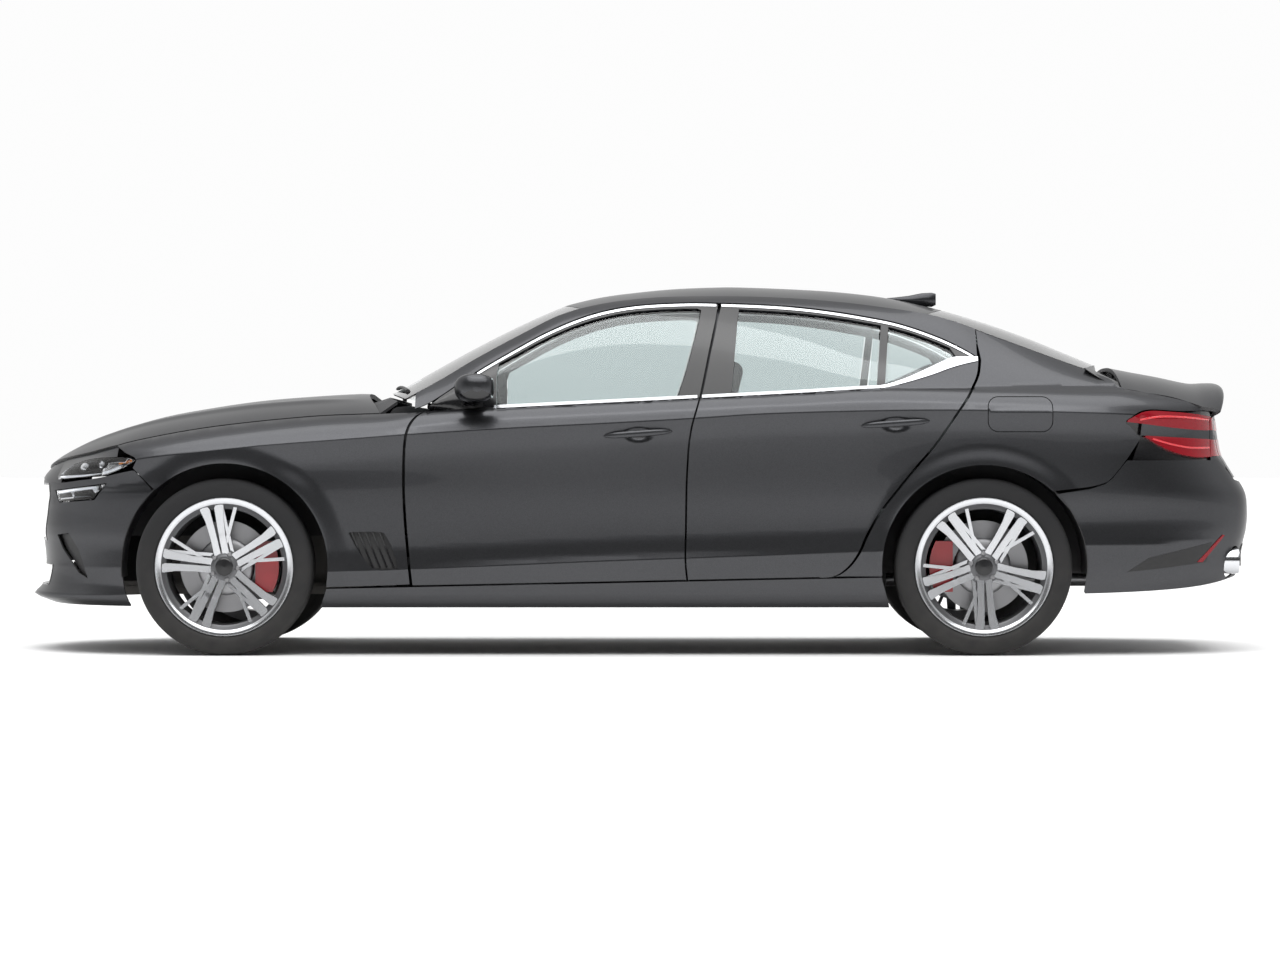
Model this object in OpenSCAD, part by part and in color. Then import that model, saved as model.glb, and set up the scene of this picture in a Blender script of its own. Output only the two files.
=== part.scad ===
// Sports sedan with four doors, full size, in millimetres.
// +X points forward, +Y to the left side, +Z up. The ground is Z = 0.

/* [Wheels] */
// Front axle ahead of the middle of the car
front_axle_x = 1540; // [1400:5:1700]
// Distance between the axles
wheelbase = 2835; // [2600:5:3000]
// Radius of a tyre at its tread
tyre_r = 331; // [300:1:360]
// Tyre width at the front
front_tyre_w = 228; // [195:1:265]
// Tyre width at the back
rear_tyre_w = 256; // [205:1:285]
// Middle of a front tyre from the centre plane
front_wheel_y = 793; // [760:1:810]
// Middle of a rear tyre from the centre plane
rear_wheel_y = 784; // [760:1:810]
// Radius of the rim flange
flange_r = 259; // [230:1:270]
// Radius of the seat the tyre bead sits on
bead_r = 229; // [200:1:245]
// Radius inside the rim barrel
barrel_r = 214; // [190:1:220]
// Number of main spokes
spokes = 5; // [4:1:7]
// Turn of the front wheel as it stands
front_turn = 282; // [0:1:359]
// Turn of the rear wheel as it stands
rear_turn = 309; // [0:1:359]
// Radius of a brake disc
disc_r = 172; // [140:1:185]
// Radius of a wheel spindle
spindle_r = 24; // [18:1:30]
// Play between a spindle and its hub
spindle_fit = 0.3; // [0.1:0.1:1]

/* [Body lines] */
// Thickness of an outer panel
skin_t = 5; // [3:1:8]
// Open gap along each shut line
gap = 7; // [4:0.5:9]
// Radius of the front wheel arch
front_arch_r = 387; // [360:1:420]
// Radius of the rear wheel arch
rear_arch_r = 381; // [360:1:420]
// How far an arch lip stands out
flare = 14; // [0:1:25]
// Width of the flared band around an arch
flare_w = 80; // [40:5:120]
// Underside of the sills
sill_low = 178; // [150:1:220]
// Thickness of a door below its window
door_t = 82; // [60:1:110]
// Thickness of a door's window frame
frame_t = 34; // [25:1:45]
// Thickness of the window glass
glass_t = 5; // [3:0.5:8]
// Step from the door skin in to the glass
glass_step = 22; // [10:1:40]

/* [Hinges] */
// Front door hinge pins from the middle of the car
front_pin_x = 809; // [790:1:830]
// Rear door hinge pins from the middle of the car
rear_pin_x = -244; // [-270:1:-220]
// Door hinge pins from the centre plane
pin_y = 875; // [860:1:890]
// Radius of a door hinge pin
pin_r = 4; // [3:0.5:6]
// Outer radius of a hinge eye
eye_r = 8; // [6:0.5:12]
// Play around a hinge pin
pin_fit = 0.3; // [0.1:0.1:1]
// Height of the lower door hinges
hinge_low = 350; // [320:5:450]
// Height of the upper door hinges
hinge_high = 790; // [700:5:820]
// Bonnet hinge axis from the middle of the car
bonnet_pin_x = 955; // [920:1:980]
// Bonnet hinge axis above the ground
bonnet_pin_z = 900; // [870:1:920]
// Boot lid hinge axis from the middle of the car
boot_pin_x = -1810; // [-1840:1:-1790]
// Boot lid hinge axis above the ground
boot_pin_z = 1056; // [1030:1:1070]

/* [Cabin] */
// Underside of the cabin floor
floor_z = 190; // [170:1:220]
// Thickness of the floor pan
floor_t = 15; // [8:1:25]
// Half width of the tunnel inside
tunnel_y = 150; // [120:1:200]
// Top of the tunnel
tunnel_z = 435; // [380:1:480]
// Half width between the sills
cabin_y = 700; // [660:1:740]

/* [Hidden] */
rear_axle_x = front_axle_x - wheelbase;
axle_z = tyre_r;
paint = [0.3, 0.31, 0.33];
dark = [0.08, 0.08, 0.09];
clear = [0.7, 0.78, 0.8, 0.5];
$fn = 64;

// Height of the shoulder crease along the car
crease_z = [[-2350, 850], [-2150, 880], [-1800, 903], [-1460, 913], [-1160, 917], [-830, 913], [-460,
    902],
    [-200, 885], [140, 866], [440, 851], [870, 825], [1140, 805], [1390, 786], [1600, 766], [1870, 733],
    [2100, 690], [2320, 650]];
// Half width at the shoulder crease, before the corners are rounded
crease_y = [[-2350, 905], [-1800, 912], [-1300, 916], [-900, 908], [-300, 903], [400, 902], [880, 902],
    [1300, 908], [1540, 910], [1900, 906], [2350, 900]];
// Half width at the middle of the doors
mid_y = [[-2350, 900], [-1800, 903], [-1300, 911], [-850, 893], [-300, 888], [400, 887], [870, 890],
    [1200, 897], [1540, 907], [1900, 904], [2350, 897]];
// Height of the lower crease
low_z = [[-2350, 430], [-1300, 402], [-830, 387], [-530, 376], [-200, 364], [140, 352], [510, 336],
    [880, 320],
    [1300, 310], [2350, 330]];
// Half width at the lower crease
low_y = [[-2350, 905], [-1300, 912], [-830, 897], [-200, 898], [500, 898], [870, 896], [1200, 900],
    [1540, 909], [2350, 902]];
// Height of the top line: boot edge, C-pillar foot, window base, bonnet edge
top_z = [[-2240, 890], [-2130, 924], [-2070, 952], [-1940, 979], [-1830, 999], [-1730, 1004], [-1500,
    1006],
    [-1290, 1004], [-910, 1002], [-610, 985], [-240, 966], [140, 947], [525, 928], [800, 914], [955, 907],
    [1155, 900], [1270, 892], [1455, 874], [1645, 850], [1835, 816], [1960, 786], [2100, 735], [2250,
        690],
    [2300, 676]];
// Half width at the top line
top_y = [[-2240, 560], [-2130, 690], [-2070, 705], [-1940, 725], [-1830, 735], [-1730, 745], [-1500, 775],
    [-1290, 800], [-910, 820], [-610, 824], [-240, 826], [140, 826], [525, 824], [800, 802], [955, 748],
    [1155, 732], [1455, 725], [1645, 717], [1835, 702], [1960, 685], [2100, 600], [2250, 380], [2300,
        180]];
// Height and half width of the upper edge of the side windows
win_z = [[-1290, 1110], [-1244, 1140], [-1144, 1190], [-994, 1243], [-844, 1274], [-693, 1297], [-541,
    1312],
    [-314, 1322], [-163, 1323], [26, 1310], [177, 1277], [328, 1216], [476, 1135], [608, 1056], [776,
        943],
    [870, 905]];
win_y = [[-1290, 690], [-1144, 646], [-994, 622], [-844, 610], [-541, 604], [-163, 605], [26, 611],
    [177, 627],
    [328, 660], [476, 702], [608, 742], [776, 792], [870, 806]];
// Height and half width of the roof and screen edge
edge_z = [[-1740, 1058], [-1600, 1108], [-1375, 1191], [-1148, 1271], [-921, 1310], [-694, 1335],
    [-466, 1348],
    [-239, 1350], [-50, 1344], [139, 1320], [291, 1278], [442, 1202], [594, 1119], [745, 1028], [878,
        956]];
edge_y = [[-1740, 622], [-1600, 600], [-1375, 575], [-1148, 555], [-921, 541], [-694, 535], [-239, 535],
    [-50, 540], [139, 552], [291, 577], [442, 616], [594, 660], [745, 702], [878, 735]];
// Middle line over the bonnet, windscreen, roof, rear window and boot
spine_z = [[-2240, 1024], [-2150, 1023], [-2104, 1029], [-2010, 1050], [-1917, 1067], [-1823, 1085],
    [-1776, 1094], [-1730, 1113], [-1636, 1152], [-1542, 1191], [-1448, 1226], [-1355, 1258], [-1187,
        1308],
    [-980, 1355], [-792, 1379], [-605, 1391], [-420, 1398], [-330, 1399], [-136, 1391], [51, 1372],
        [145, 1358],
    [238, 1337], [285, 1323], [426, 1262], [613, 1169], [800, 1066], [894, 1012], [950, 986], [1081, 984],
    [1269, 973], [1456, 957], [1644, 930], [1831, 895], [2018, 840], [2112, 805], [2206, 758], [2253,
        727],
    [2299, 688]];
// Reach of the nose and of the tail at each height
nose_x = [[178, 2255], [200, 2318], [215, 2342], [240, 2318], [262, 2304], [336, 2296], [414, 2303],
    [453, 2311],
    [532, 2308], [650, 2305], [690, 2299]];
tail_x = [[226, -2225], [285, -2290], [414, -2324], [473, -2338], [532, -2342], [606, -2333], [671,
    -2296],
    [727, -2262], [758, -2246], [906, -2224], [960, -2230], [1010, -2250]];
nose_start = 1300;
tail_start = -1500;

// Smooth curve through rising knots, level past both ends
function seg(k, x, i = 0) = (i >= len(k) - 2 || x < k[i + 1][0]) ? i : seg(k, x, i + 1);
function grad(k, i) =
    let (a = max(0, i - 1), b = min(len(k) - 1, i + 1)) (k[b][1] - k[a][1]) / (k[b][0] - k[a][0]);
function curve(k, x) =
    let (i = seg(k, x), h = k[i + 1][0] - k[i][0], t = min(1, max(0, (x - k[i][0]) / h)), s = 1 - t)
    k[i][1] * (1 + 2 * t) * s * s + grad(k, i) * h * t * s * s
    + k[i + 1][1] * t * t * (3 - 2 * t) - grad(k, i + 1) * h * t * t * s;
function mix(a, b, t) = a + (b - a) * t;
function ease(t) = let (c = min(1, max(0, t))) c * c * (3 - 2 * c);

// Rounding of the nose and the tail in plan
function plan(x, z) =
    x > nose_start ? sqrt(max(0, 1 - pow(min(1, (x - nose_start) / (curve(nose_x, z) - nose_start)),
        3.6))) :
    x < tail_start ? pow(max(0, 1 - pow(min(1, (tail_start - x) / (tail_start - curve(tail_x, z))),
        2)), 0.2) : 1;
function lip(x, z, ax, r) = let (d = norm([x - ax, z - axle_z]) - r) flare * (1 - ease(d / flare_w));

// Half width of the body at any station and height
function lower_y(x, z) =
    let (zl = curve(low_z, x), yl = curve(low_y, x), zs = curve(crease_z, x), ys = curve(crease_y, x),
        ym = curve(mid_y, x))
    z < zl ? curve([[150, yl - 100], [178, yl - 62], [205, yl - 28], [262, yl - 13], [zl, yl]], z) :
    curve([[zl, yl], [zl + 30, mix(yl, ym, 0.8)], [zl + 85, ym - 4], [610, ym], [zs - 90, ys - 11],
        [zs, ys]], z);
function upper_y(x, z) =
    let (zs = curve(crease_z, x), ys = curve(crease_y, x) * plan(x, zs), zt = curve(top_z, x),
        yt = curve(top_y, x))
    curve([[zs, ys], [mix(zs, zt, 0.45), mix(ys, yt, 0.22)], [mix(zs, zt, 0.8), mix(ys, yt, 0.58)],
        [zt, yt]], z);
function pillar_y(x, z) =
    let (zt = curve(top_z, x), yt = curve(top_y, x), ze = curve(edge_z, x), ye = curve(edge_y, x),
        t = (z - zt) / (ze - zt))
    mix(yt, ye, t) + 60 * t * (1 - t);
function glass_y(x, z) =
    let (zt = curve(top_z, x), yt = curve(top_y, x) - glass_step, zw = curve(win_z, x),
        yw = curve(win_y, x),
        t = (z - zt) / max(40, zw - zt))
    mix(yt, yw, t) + 44 * t * (1 - t);
function half_y(x, z) =
    let (zs = curve(crease_z, x))
    z <= zs ? lower_y(x, z) * plan(x, z) + lip(x, z, front_axle_x, front_arch_r) + lip(x, z,
        rear_axle_x, rear_arch_r) :
    z <= curve(top_z, x) ? upper_y(x, z) :
    x < -912 ? pillar_y(x, z) : x < 800 ? glass_y(x, z) : curve(top_y, x);

// Panel between an outer and an inner grid of points
module sheet(a, b, flip = false) {
    m = len(a);
    n = len(a[0]);
    function id(j, i, s) = s * m * n + j * n + i;
    quads = concat(
        [for (j = [0:m - 2]) for (i = [0:n - 2]) [id(j, i, 0), id(j + 1, i, 0), id(j + 1, i + 1, 0),
            id(j, i + 1, 0)]],
        [for (j = [0:m - 2]) for (i = [0:n - 2]) [id(j, i, 1), id(j, i + 1, 1), id(j + 1, i + 1, 1),
            id(j + 1, i, 1)]],
        [for (i = [0:n - 2]) [id(0, i, 0), id(0, i + 1, 0), id(0, i + 1, 1), id(0, i, 1)]],
        [for (i = [0:n - 2]) [id(m - 1, i, 0), id(m - 1, i, 1), id(m - 1, i + 1, 1), id(m - 1, i + 1,
            0)]],
        [for (j = [0:m - 2]) [id(j, 0, 0), id(j, 0, 1), id(j + 1, 0, 1), id(j + 1, 0, 0)]],
        [for (j = [0:m - 2]) [id(j, n - 1, 0), id(j + 1, n - 1, 0), id(j + 1, n - 1, 1), id(j, n - 1,
            1)]]);
    tris = [for (q = quads) each [[q[0], q[2], q[1]], [q[0], q[3], q[2]]]];
    points = concat([for (r = a) each r], [for (r = b) each r]);
    polyhedron(points, flip ? [for (t = tris) [t[2], t[1], t[0]]] : tris);
}
// Points spread along a hand-drawn line
function at(p, t) =
    let (n = len(p) - 1, i = min(n - 1, floor(t * n)), f = t * n - i, a = p[max(0, i - 1)], b = p[i],
        c = p[i + 1],
        d = p[min(n, i + 2)])
    b + 0.5 * f * ((c - a) + f * (2 * a - 5 * b + 4 * c - d + f * (3 * (b - c) + d - a)));
function spread(p, n) = [for (i = [0:n]) at(p, i / n)];
// Patch filled in between four edge lines
function patch(low, high, first, last) =
    let (m = len(first) - 1, n = len(low) - 1)
    [for (j = [0:m]) let (v = j / m) [for (i = [0:n]) let (u = i / n)
        (1 - v) * low[i] + v * high[i] + (1 - u) * first[j] + u * last[j]
        - (1 - u) * (1 - v) * low[0] - u * (1 - v) * low[n] - (1 - u) * v * high[0] - u * v * high[n]]];
// Lift a side-view patch onto the body, or a depth below its surface
function lift(g) = [for (r = g) [for (p = r) [p[0], half_y(p[0], p[1]), p[1]]]];
function under(p, t) =
    let (e = 4, x = p[0], z = p[1], gx = (half_y(x + e, z) - half_y(x - e, z)) / (2 * e),
        gz = (half_y(x, z + e) - half_y(x, z - e)) / (2 * e), n = [-gx, 1, -gz])
    [x, half_y(x, z), z] - n * (t / norm(n));
function sink(g, t) = [for (r = g) [for (p = r) under(p, t)]];
module both() {
    children();
    mirror([0, 1, 0]) children();
}
// Straight prism through the car from a side-view outline
module side_cut(p, y0, y1) translate([0, y1, 0]) rotate([90, 0, 0]) linear_extrude(y1 - y0) polygon(p);
module box(a, b) translate(a) cube(b - a);
module tube_y(x, z, r, y0, y1) translate([x, y0, z]) rotate([-90, 0, 0]) cylinder(r = r, h = y1 - y0);
module tube_x(y, z, r, x0, x1) translate([x0, y, z]) rotate([0, 90, 0]) cylinder(r = r, h = x1 - x0);
function shift(p, d) = [for (q = p) q + d];
function back(p) = [for (i = [len(p) - 1:-1:0]) p[i]];

// Shut lines in side view, each from the bottom up
line_a = [[841, 264], [847, 320], [854, 394], [861, 470], [866, 545], [869, 620], [869, 700], [866, 780],
    [858, 832], [843, 868], [820, 896], [790, 916]];
line_b = [[-188, 280], [-181, 357], [-183, 469], [-185, 618], [-189, 711], [-194, 786], [-203, 845],
    [-214, 889], [-236, 962]];
line_b_up = [[-236, 962], [-260, 1070], [-288, 1200], [-314, 1322]];
line_c = [[-690, 290], [-742, 298], [-778, 320], [-806, 350], [-832, 391], [-858, 450], [-907, 536],
    [-970, 618],
    [-1037, 700], [-1102, 775], [-1151, 842], [-1202, 917], [-1240, 973], [-1278, 1045], [-1290, 1108]];
sill_top = [[1170, 252], [841, 262], [300, 271], [-235, 280], [-690, 290]];
function arch(ax, r, a0, a1, n) =
    [for (i = [0:n]) let (a = mix(a0, a1, i / n)) [ax + r * cos(a), axle_z + r * sin(a)]];

// Cabin floor, tunnel, bulkhead, wheel houses, rails and crash beams
module floor() color(dark) difference() {
    union() {
        for (s = [-1, 1]) {
            box([-930, min(s * tunnel_y, s * cabin_y), floor_z], [1030, max(s * tunnel_y, s * cabin_y),
                floor_z + floor_t]);
            box([-930, min(s * tunnel_y, s * (tunnel_y + 15)), floor_z], [1030, max(s * tunnel_y,
                s * (tunnel_y + 15)), tunnel_z]);
            wheel_house(s);
            box([1010, min(s * 400, s * 470), 440], [2120, max(s * 400, s * 470), 540]);
            box([-2200, min(s * 450, s * 520), 350], [-1700, max(s * 450, s * 520), 432]);
        }
        box([-930, -tunnel_y - 15, tunnel_z - 15], [1030, tunnel_y + 15, tunnel_z]);
        difference() {
            box([1010, -cabin_y, floor_z], [1030, cabin_y, 880]);
            box([1000, -tunnel_y, floor_z - 10], [1040, tunnel_y, tunnel_z - 15]);
        }
        difference() {
            box([-945, -cabin_y + 140, floor_z], [-930, cabin_y - 140, 445]);
            box([-960, -tunnel_y, floor_z - 10], [-900, tunnel_y, tunnel_z - 15]);
        }
        box([-2190, -560, 430], [-930, 560, 445]);
        box([2115, -545, 430], [2150, 545, 550]);
        both() {
            box([947, 674, 862], [1012, 690, 878]);
            box([947, 674, 862], [963, 690, bonnet_pin_z]);
            tube_y(bonnet_pin_x, bonnet_pin_z, 9, 674, 690);
            box([boot_pin_x - 8, 366, 1030], [boot_pin_x + 8, 384, boot_pin_z]);
            tube_y(boot_pin_x, boot_pin_z, 8, 366, 384);
        }
        box([-1818, -520, 1025], [-1770, 520, 1040]);
        cowl();
        box([-2230, -520, 350], [-2190, 520, 560]);
        tube_x(tow_y, tow_z, 24, 2140, 2170);
        tube_x(-330, 520, 24, -2260, -2220);
        box([-1760, -600, 985], [-1300, 600, 1000]);
        box([-1790, -600, 985], [-1760, 600, 1040]);
        box([-1310, -560, 430], [-1295, 560, 990]);
        box([2050, -380, 300], [2090, 380, 640]);
        box([2050, -440, 500], [2090, 440, 540]);
    }
    tube_x(tow_y, tow_z, tow_r, 2100, 2200);
    both() tube_y(bonnet_pin_x, bonnet_pin_z, pin_r + pin_fit, 660, 700);
    both() tube_y(boot_pin_x, boot_pin_z, pin_r + pin_fit, 350, 400);
    tube_x(-330, 520, tow_r, -2300, -2180);
}
tow_y = -500;
tow_z = 490;
tow_r = 10;
// Cover under the foot of the windscreen
module cowl() {
    vs = [-1, -0.6, -0.2, 0.2, 0.6, 1];
    function g(d) = [for (f = [0, 1]) [for (v = vs) let (q = 0.85 * abs(v))
        [f == 0 ? mix(960, 885, q * q) : curve(cowl_x, q) - 10, v * 620, mix(f == 0 ? 970 : 950,
            f == 0 ? 945 : 885, q * q) - d]]];
    sheet(g(0), g(12));
}
module wheel_house(s) {
    difference() {
        union() {
            tube_y(rear_axle_x, axle_z, rear_arch_r + 14, s > 0 ? 560 : -892, s > 0 ? 892 : -560);
        }
        tube_y(rear_axle_x, axle_z, rear_arch_r + 8, s > 0 ? 575 : -950, s > 0 ? 950 : -575);
        box([rear_axle_x - 500, -1000, -100], [rear_axle_x + 500, 1000, 300]);
        tube_y(rear_axle_x, axle_z, 90, -1000, 1000);
        box([rear_axle_x - 500, s > 0 ? 850 : -1000, 0], [-1540, s > 0 ? 1000 : -850, 640]);
    }
    difference() {
        tube_y(front_axle_x, axle_z, front_arch_r + 14, s > 0 ? 472 : -866, s > 0 ? 866 : -472);
        tube_y(front_axle_x, axle_z, front_arch_r + 8, s > 0 ? 480 : -950, s > 0 ? 950 : -480);
        box([front_axle_x - 500, -1000, -100], [front_axle_x + 500, 1000, 540]);
        box([1790, s > 0 ? 780 : -1000, 0], [2000, s > 0 ? 1000 : -780, 720]);
    }
}

// Subframes with the suspension arms and the rear hub carriers
module axles() color(dark) {
    difference() {
        union() {
            box([front_axle_x - 100, -380, 200], [front_axle_x + 100, 380, 255]);
            both() {
                box([front_axle_x - 26, 370, 212], [front_axle_x + 26, 720, 240]);
                tube_z(front_axle_x, king_y, 26, 212, 240);
                box([front_axle_x - 26, 470.2, 470], [front_axle_x + 26, 720, 492]);
                tube_z(front_axle_x, king_y, 26, 470, 492);
            }
        }
        both() tube_z(front_axle_x, king_y, king_r + pin_fit, 150, 600);
    }
    both() {
        box([front_axle_x + 100, 340, 215], [front_axle_x + 500, 380, 245]);
        box([front_axle_x - 500, 340, 215], [front_axle_x - 100, 380, 245]);
    }
    difference() {
        union() {
            box([rear_axle_x - 100, -470, 240], [rear_axle_x + 100, 470, 320]);
            both() {
                box([rear_axle_x - 50, 460, 270], [rear_axle_x + 50, 650, 392]);
                tube_y(rear_axle_x, axle_z, spindle_r, 640, rear_wheel_y + 60);
            }
        }
        box([rear_axle_x - 110, -70, 235], [rear_axle_x + 110, 70, 290]);
    }
}
king_y = 722;
king_r = 10;
module tube_z(x, y, r, z0, z1) translate([x, y, z0]) cylinder(r = r, h = z1 - z0);

// Engine and gearbox as one plain mass
module engine() color(dark) {
    box([1180, -270, 255.3], [1900, 270, 770]);
    box([620, -125, 262], [1180, 125, 405]);
}

// Pipe, silencer and two tail pipes
module exhaust() color("silver") {
    tube_x(0, 262, 27, -1850, 619.7);
    box([-2080, -330, 235], [-1850, 330, 345]);
    both() difference() {
        tube_x(600, 348, 48, -2275, -2050);
        tube_x(600, 348, 44, -2300, -2090);
    }
    both() box([-2086, 320, 290], [-2050, 600, 345]);
}

// Brake caliper that straddles a disc, drawn on a wheel whose axis is Z
module caliper_shape() difference() {
    intersection() {
        translate([0, 0, -64]) cylinder(r = 200, h = 102);
        translate([112, -95, -80]) cube([120, 190, 140]);
    }
    translate([0, 0, -32]) cylinder(r = disc_r + 8, h = 40);
}
module on_wheel(x, y) translate([x, y, axle_z]) rotate([-90, 0, 0]) children();
module rear_calipers() color("red") both() {
    on_wheel(rear_axle_x, rear_wheel_y) caliper_shape();
    box([rear_axle_x + 50, 600, 285], [rear_axle_x + 130, 719.7, 375]);
}
module caliper_left() color("red") on_wheel(front_axle_x, front_wheel_y) mirror([1, 0,
    0]) caliper_shape();
module caliper_right() color("red") mirror([0, 1, 0]) on_wheel(front_axle_x, front_wheel_y) mirror([1,
    0, 0]) caliper_shape();

// Upright with the steering pin, spindle and caliper arm
module knuckle() color(dark) {
    tube_z(front_axle_x, king_y, king_r, 206, 498);
    box([front_axle_x - 34, 690, 246], [front_axle_x + 34, 732, 464]);
    tube_y(front_axle_x, axle_z, spindle_r, 700, front_wheel_y + 60);
    box([front_axle_x - 150, 690, 290], [front_axle_x - 30, 728.9, 372]);
    box([front_axle_x - 110, 640, 300], [front_axle_x - 90, 700, 330]);
}
module knuckle_left() knuckle();
module knuckle_right() mirror([0, 1, 0]) knuckle();

// Tyre and rim, drawn with the axis along Z and the outside up
module tyre(w) color(dark) rotate_extrude($fn = 72) polygon([
    [bead_r + 0.6, -w / 2 + 24], [flange_r + 0.6, -w / 2 + 17], [284, -w / 2], [318, -w / 2 + 8],
    [tyre_r, -w / 2 + 34], [tyre_r, w / 2 - 34], [318, w / 2 - 8], [284, w / 2],
    [flange_r + 0.6, w / 2 - 17], [bead_r + 0.6, w / 2 - 24]]);
module bar(r0, a0, r1, a1, w) {
    p = r0 * [cos(a0), sin(a0)];
    q = r1 * [cos(a1), sin(a1)];
    d = q - p;
    translate(p) rotate(atan2(d[1], d[0])) translate([0, -w / 2]) square([norm(d), w]);
}
hub_r = 62;
// Flat shape of the wheel face: twin spokes with a slot, and a crossed pair of thin bars beside each
module spoke_shape(turn) intersection() {
    circle(r = barrel_r + 8, $fn = 96);
    union() {
        circle(r = hub_r + 2, $fn = 64);
        for (i = [0:spokes - 1]) rotate([0, 0, turn + i * 360 / spokes]) {
            difference() {
                polygon([[30, -30], [236, -42], [236, 42], [30, 30]]);
                polygon([[80, -7], [206, -14], [206, 14], [80, 7]]);
            }
            bar(50, -4, 232, -24, 13);
            bar(50, -52, 232, -11, 13);
        }
    }
}
module rim(w, turn) color("silver") {
    h = w / 2 - 6;
    difference() {
        union() {
            rotate_extrude($fn = 96) polygon([[barrel_r, -h], [flange_r, -h], [flange_r, -h + 10],
                [bead_r, -h + 17], [bead_r, h - 17], [flange_r, h - 10], [flange_r, h], [flange_r - 8, h],
                [bead_r - 1, h - 8], [barrel_r, h - 24]]);
            translate([0, 0, -26]) cylinder(r = disc_r, h = 28);
            translate([0, 0, -20]) cylinder(r = hub_r, h = h);
            translate([0, 0, h - 46]) linear_extrude(33) spoke_shape(turn);
        }
        translate([0, 0, -40]) cylinder(r = spindle_r + spindle_fit, h = 106);
    }
}
module tyre_front_left() on_wheel(front_axle_x, front_wheel_y) tyre(front_tyre_w);
module tyre_front_right() mirror([0, 1, 0]) tyre_front_left();
module tyre_rear_left() on_wheel(rear_axle_x, rear_wheel_y) tyre(rear_tyre_w);
module tyre_rear_right() mirror([0, 1, 0]) tyre_rear_left();
module rim_front_left() on_wheel(front_axle_x, front_wheel_y) rim(front_tyre_w, front_turn);
module rim_front_right() mirror([0, 1, 0]) rim_front_left();
module rim_rear_left() on_wheel(rear_axle_x, rear_wheel_y) rim(rear_tyre_w, rear_turn);
module rim_rear_right() mirror([0, 1, 0]) rim_rear_left();

// Sill, hinge post, centre post and the rail over the doors
module side_frames() color(paint) both() {
    difference() {
        sill();
        tube_y(front_axle_x, axle_z, front_arch_r + 2, 600, 1000);
        tube_y(rear_axle_x, axle_z, rear_arch_r + 2, 600, 1000);
    }
    rail();
    box([905, 702, 250], [960, 780, 880]);
    box([-300, 702, 270], [-200, 786, 930]);
    centre_post();
    hinge_arms(front_pin_x, 905);
    hinge_arms(rear_pin_x, -205);
}
module sill() {
    xs = [for (i = [0:10]) mix(-960, 1190, i / 10)];
    fs = [0, 0.2, 0.45, 0.8, 1];
    function zt(x) = mix(290, 252, (x + 690) / 1860) - gap / 2;
    a = [for (f = fs) [for (x = xs) let (z = mix(sill_low, zt(x), f)) [x, lower_y(x, z), z]]];
    b = [for (f = fs) [for (x = xs) let (z = mix(sill_low, zt(x), f)) [x, cabin_y, z]]];
    sheet(a, b);
}
module rail() {
    xs = [for (i = [0:22]) mix(-1280, 830, i / 22)];
    fs = [0, 0.33, 0.66, 1];
    function w(x, f) = [x, mix(curve(win_y, x), curve(edge_y, x), f) + 24 * f * (1 - f),
        mix(curve(win_z, x) + gap / 2, curve(edge_z, x) - 2, f)];
    a = [for (f = fs) [for (x = xs) w(x, f)]];
    b = [for (f = fs) [for (x = xs) w(x, f) - [0, mix(30, 1, f), mix(0, 30, f)]]];
    sheet(a, b);
}
module centre_post() {
    a = [[[-300, 744, 925], [-200, 744, 925]], [[-330, 566, 1300], [-260, 566, 1300]]];
    b = [[[-300, 700, 925], [-200, 700, 925]], [[-330, 530, 1300], [-260, 530, 1300]]];
    sheet(a, b);
}
module hinge_arms(px, post_x) for (z = [hinge_low, hinge_high]) difference() {
    union() {
        tube_z(px, pin_y, eye_r, z - 14, z + 14);
        box([min(px - eye_r, post_x - 10), 760, z - 14], [max(px + eye_r, post_x), 778, z + 14]);
        box([px - eye_r, 760, z - 14], [px + eye_r, pin_y, z + 14]);
    }
    tube_z(px, pin_y, pin_r + pin_fit, z - 40, z + 40);
}

// Height at a level: 0 lower edge, 1 lower crease, 2 shoulder crease, 3 upper edge
function sill_z(x) = mix(290, 252, (x + 690) / 1860);
function kick_z(x) = x > -912 ? curve(top_z, x) :
    curve([[-1292, 1108], [-1240, 1097], [-1180, 1080], [-1105, 1053], [-1008, 1024], [-912, 1002],
        [-800, 995]], x);
function level_z(x, s) =
    let (zl = curve(low_z, x), zs = curve(crease_z, x))
    s < 1 ? mix(sill_z(x) + gap / 2, zl, s) : s < 2 ? mix(zl, zs, s - 1) : mix(zs, kick_z(x), s - 2);
function flip_xz(p) = [for (q = p) [q[1], q[0]]];
// Where a shut line crosses a level
function cross(line, s, x, n = 8) = n == 0 ? x : cross(line, s, curve(line, level_z(x, s)), n - 1);
levels = [0, 0.3, 0.65, 1, 1.06, 1.18, 1.38, 1.6, 1.8, 1.92, 2, 2.25, 2.5, 2.75, 3];
// Door below its window: thin along its front and rear edges, full depth between
module door_lower(line_front, line_rear, cols, front_cols, rear_cols) {
    front = flip_xz(line_front);
    rear = flip_xz(line_rear);
    m = len(levels);
    n = len(cols);
    g = [for (s = levels) let (x0 = cross(front, s, line_front[4][0]) - gap / 2, x1 = cross(rear, s,
        line_rear[4][0]) + gap / 2)
        [for (u = cols) let (x = mix(x0, x1, u)) [x, level_z(x, s)]]];
    a = lift(g);
    b = [for (j = [0:m - 1]) [for (i = [0:n - 1])
        (i < front_cols || i >= n - rear_cols || j == 0) ? under(g[j][i], skin_t) : a[j][i] - [0,
            door_t, 0]]];
    sheet(a, b, true);
}
module door_frame(outer, inner) {
    rows = [outer, inner];
    a = [for (r = rows) [for (p = r) [p[0], glass_y(p[0], p[1]) + 4, p[1]]]];
    b = [for (r = a) [for (p = r) p - [0, frame_t, 0]]];
    sheet(a, b);
}
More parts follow.
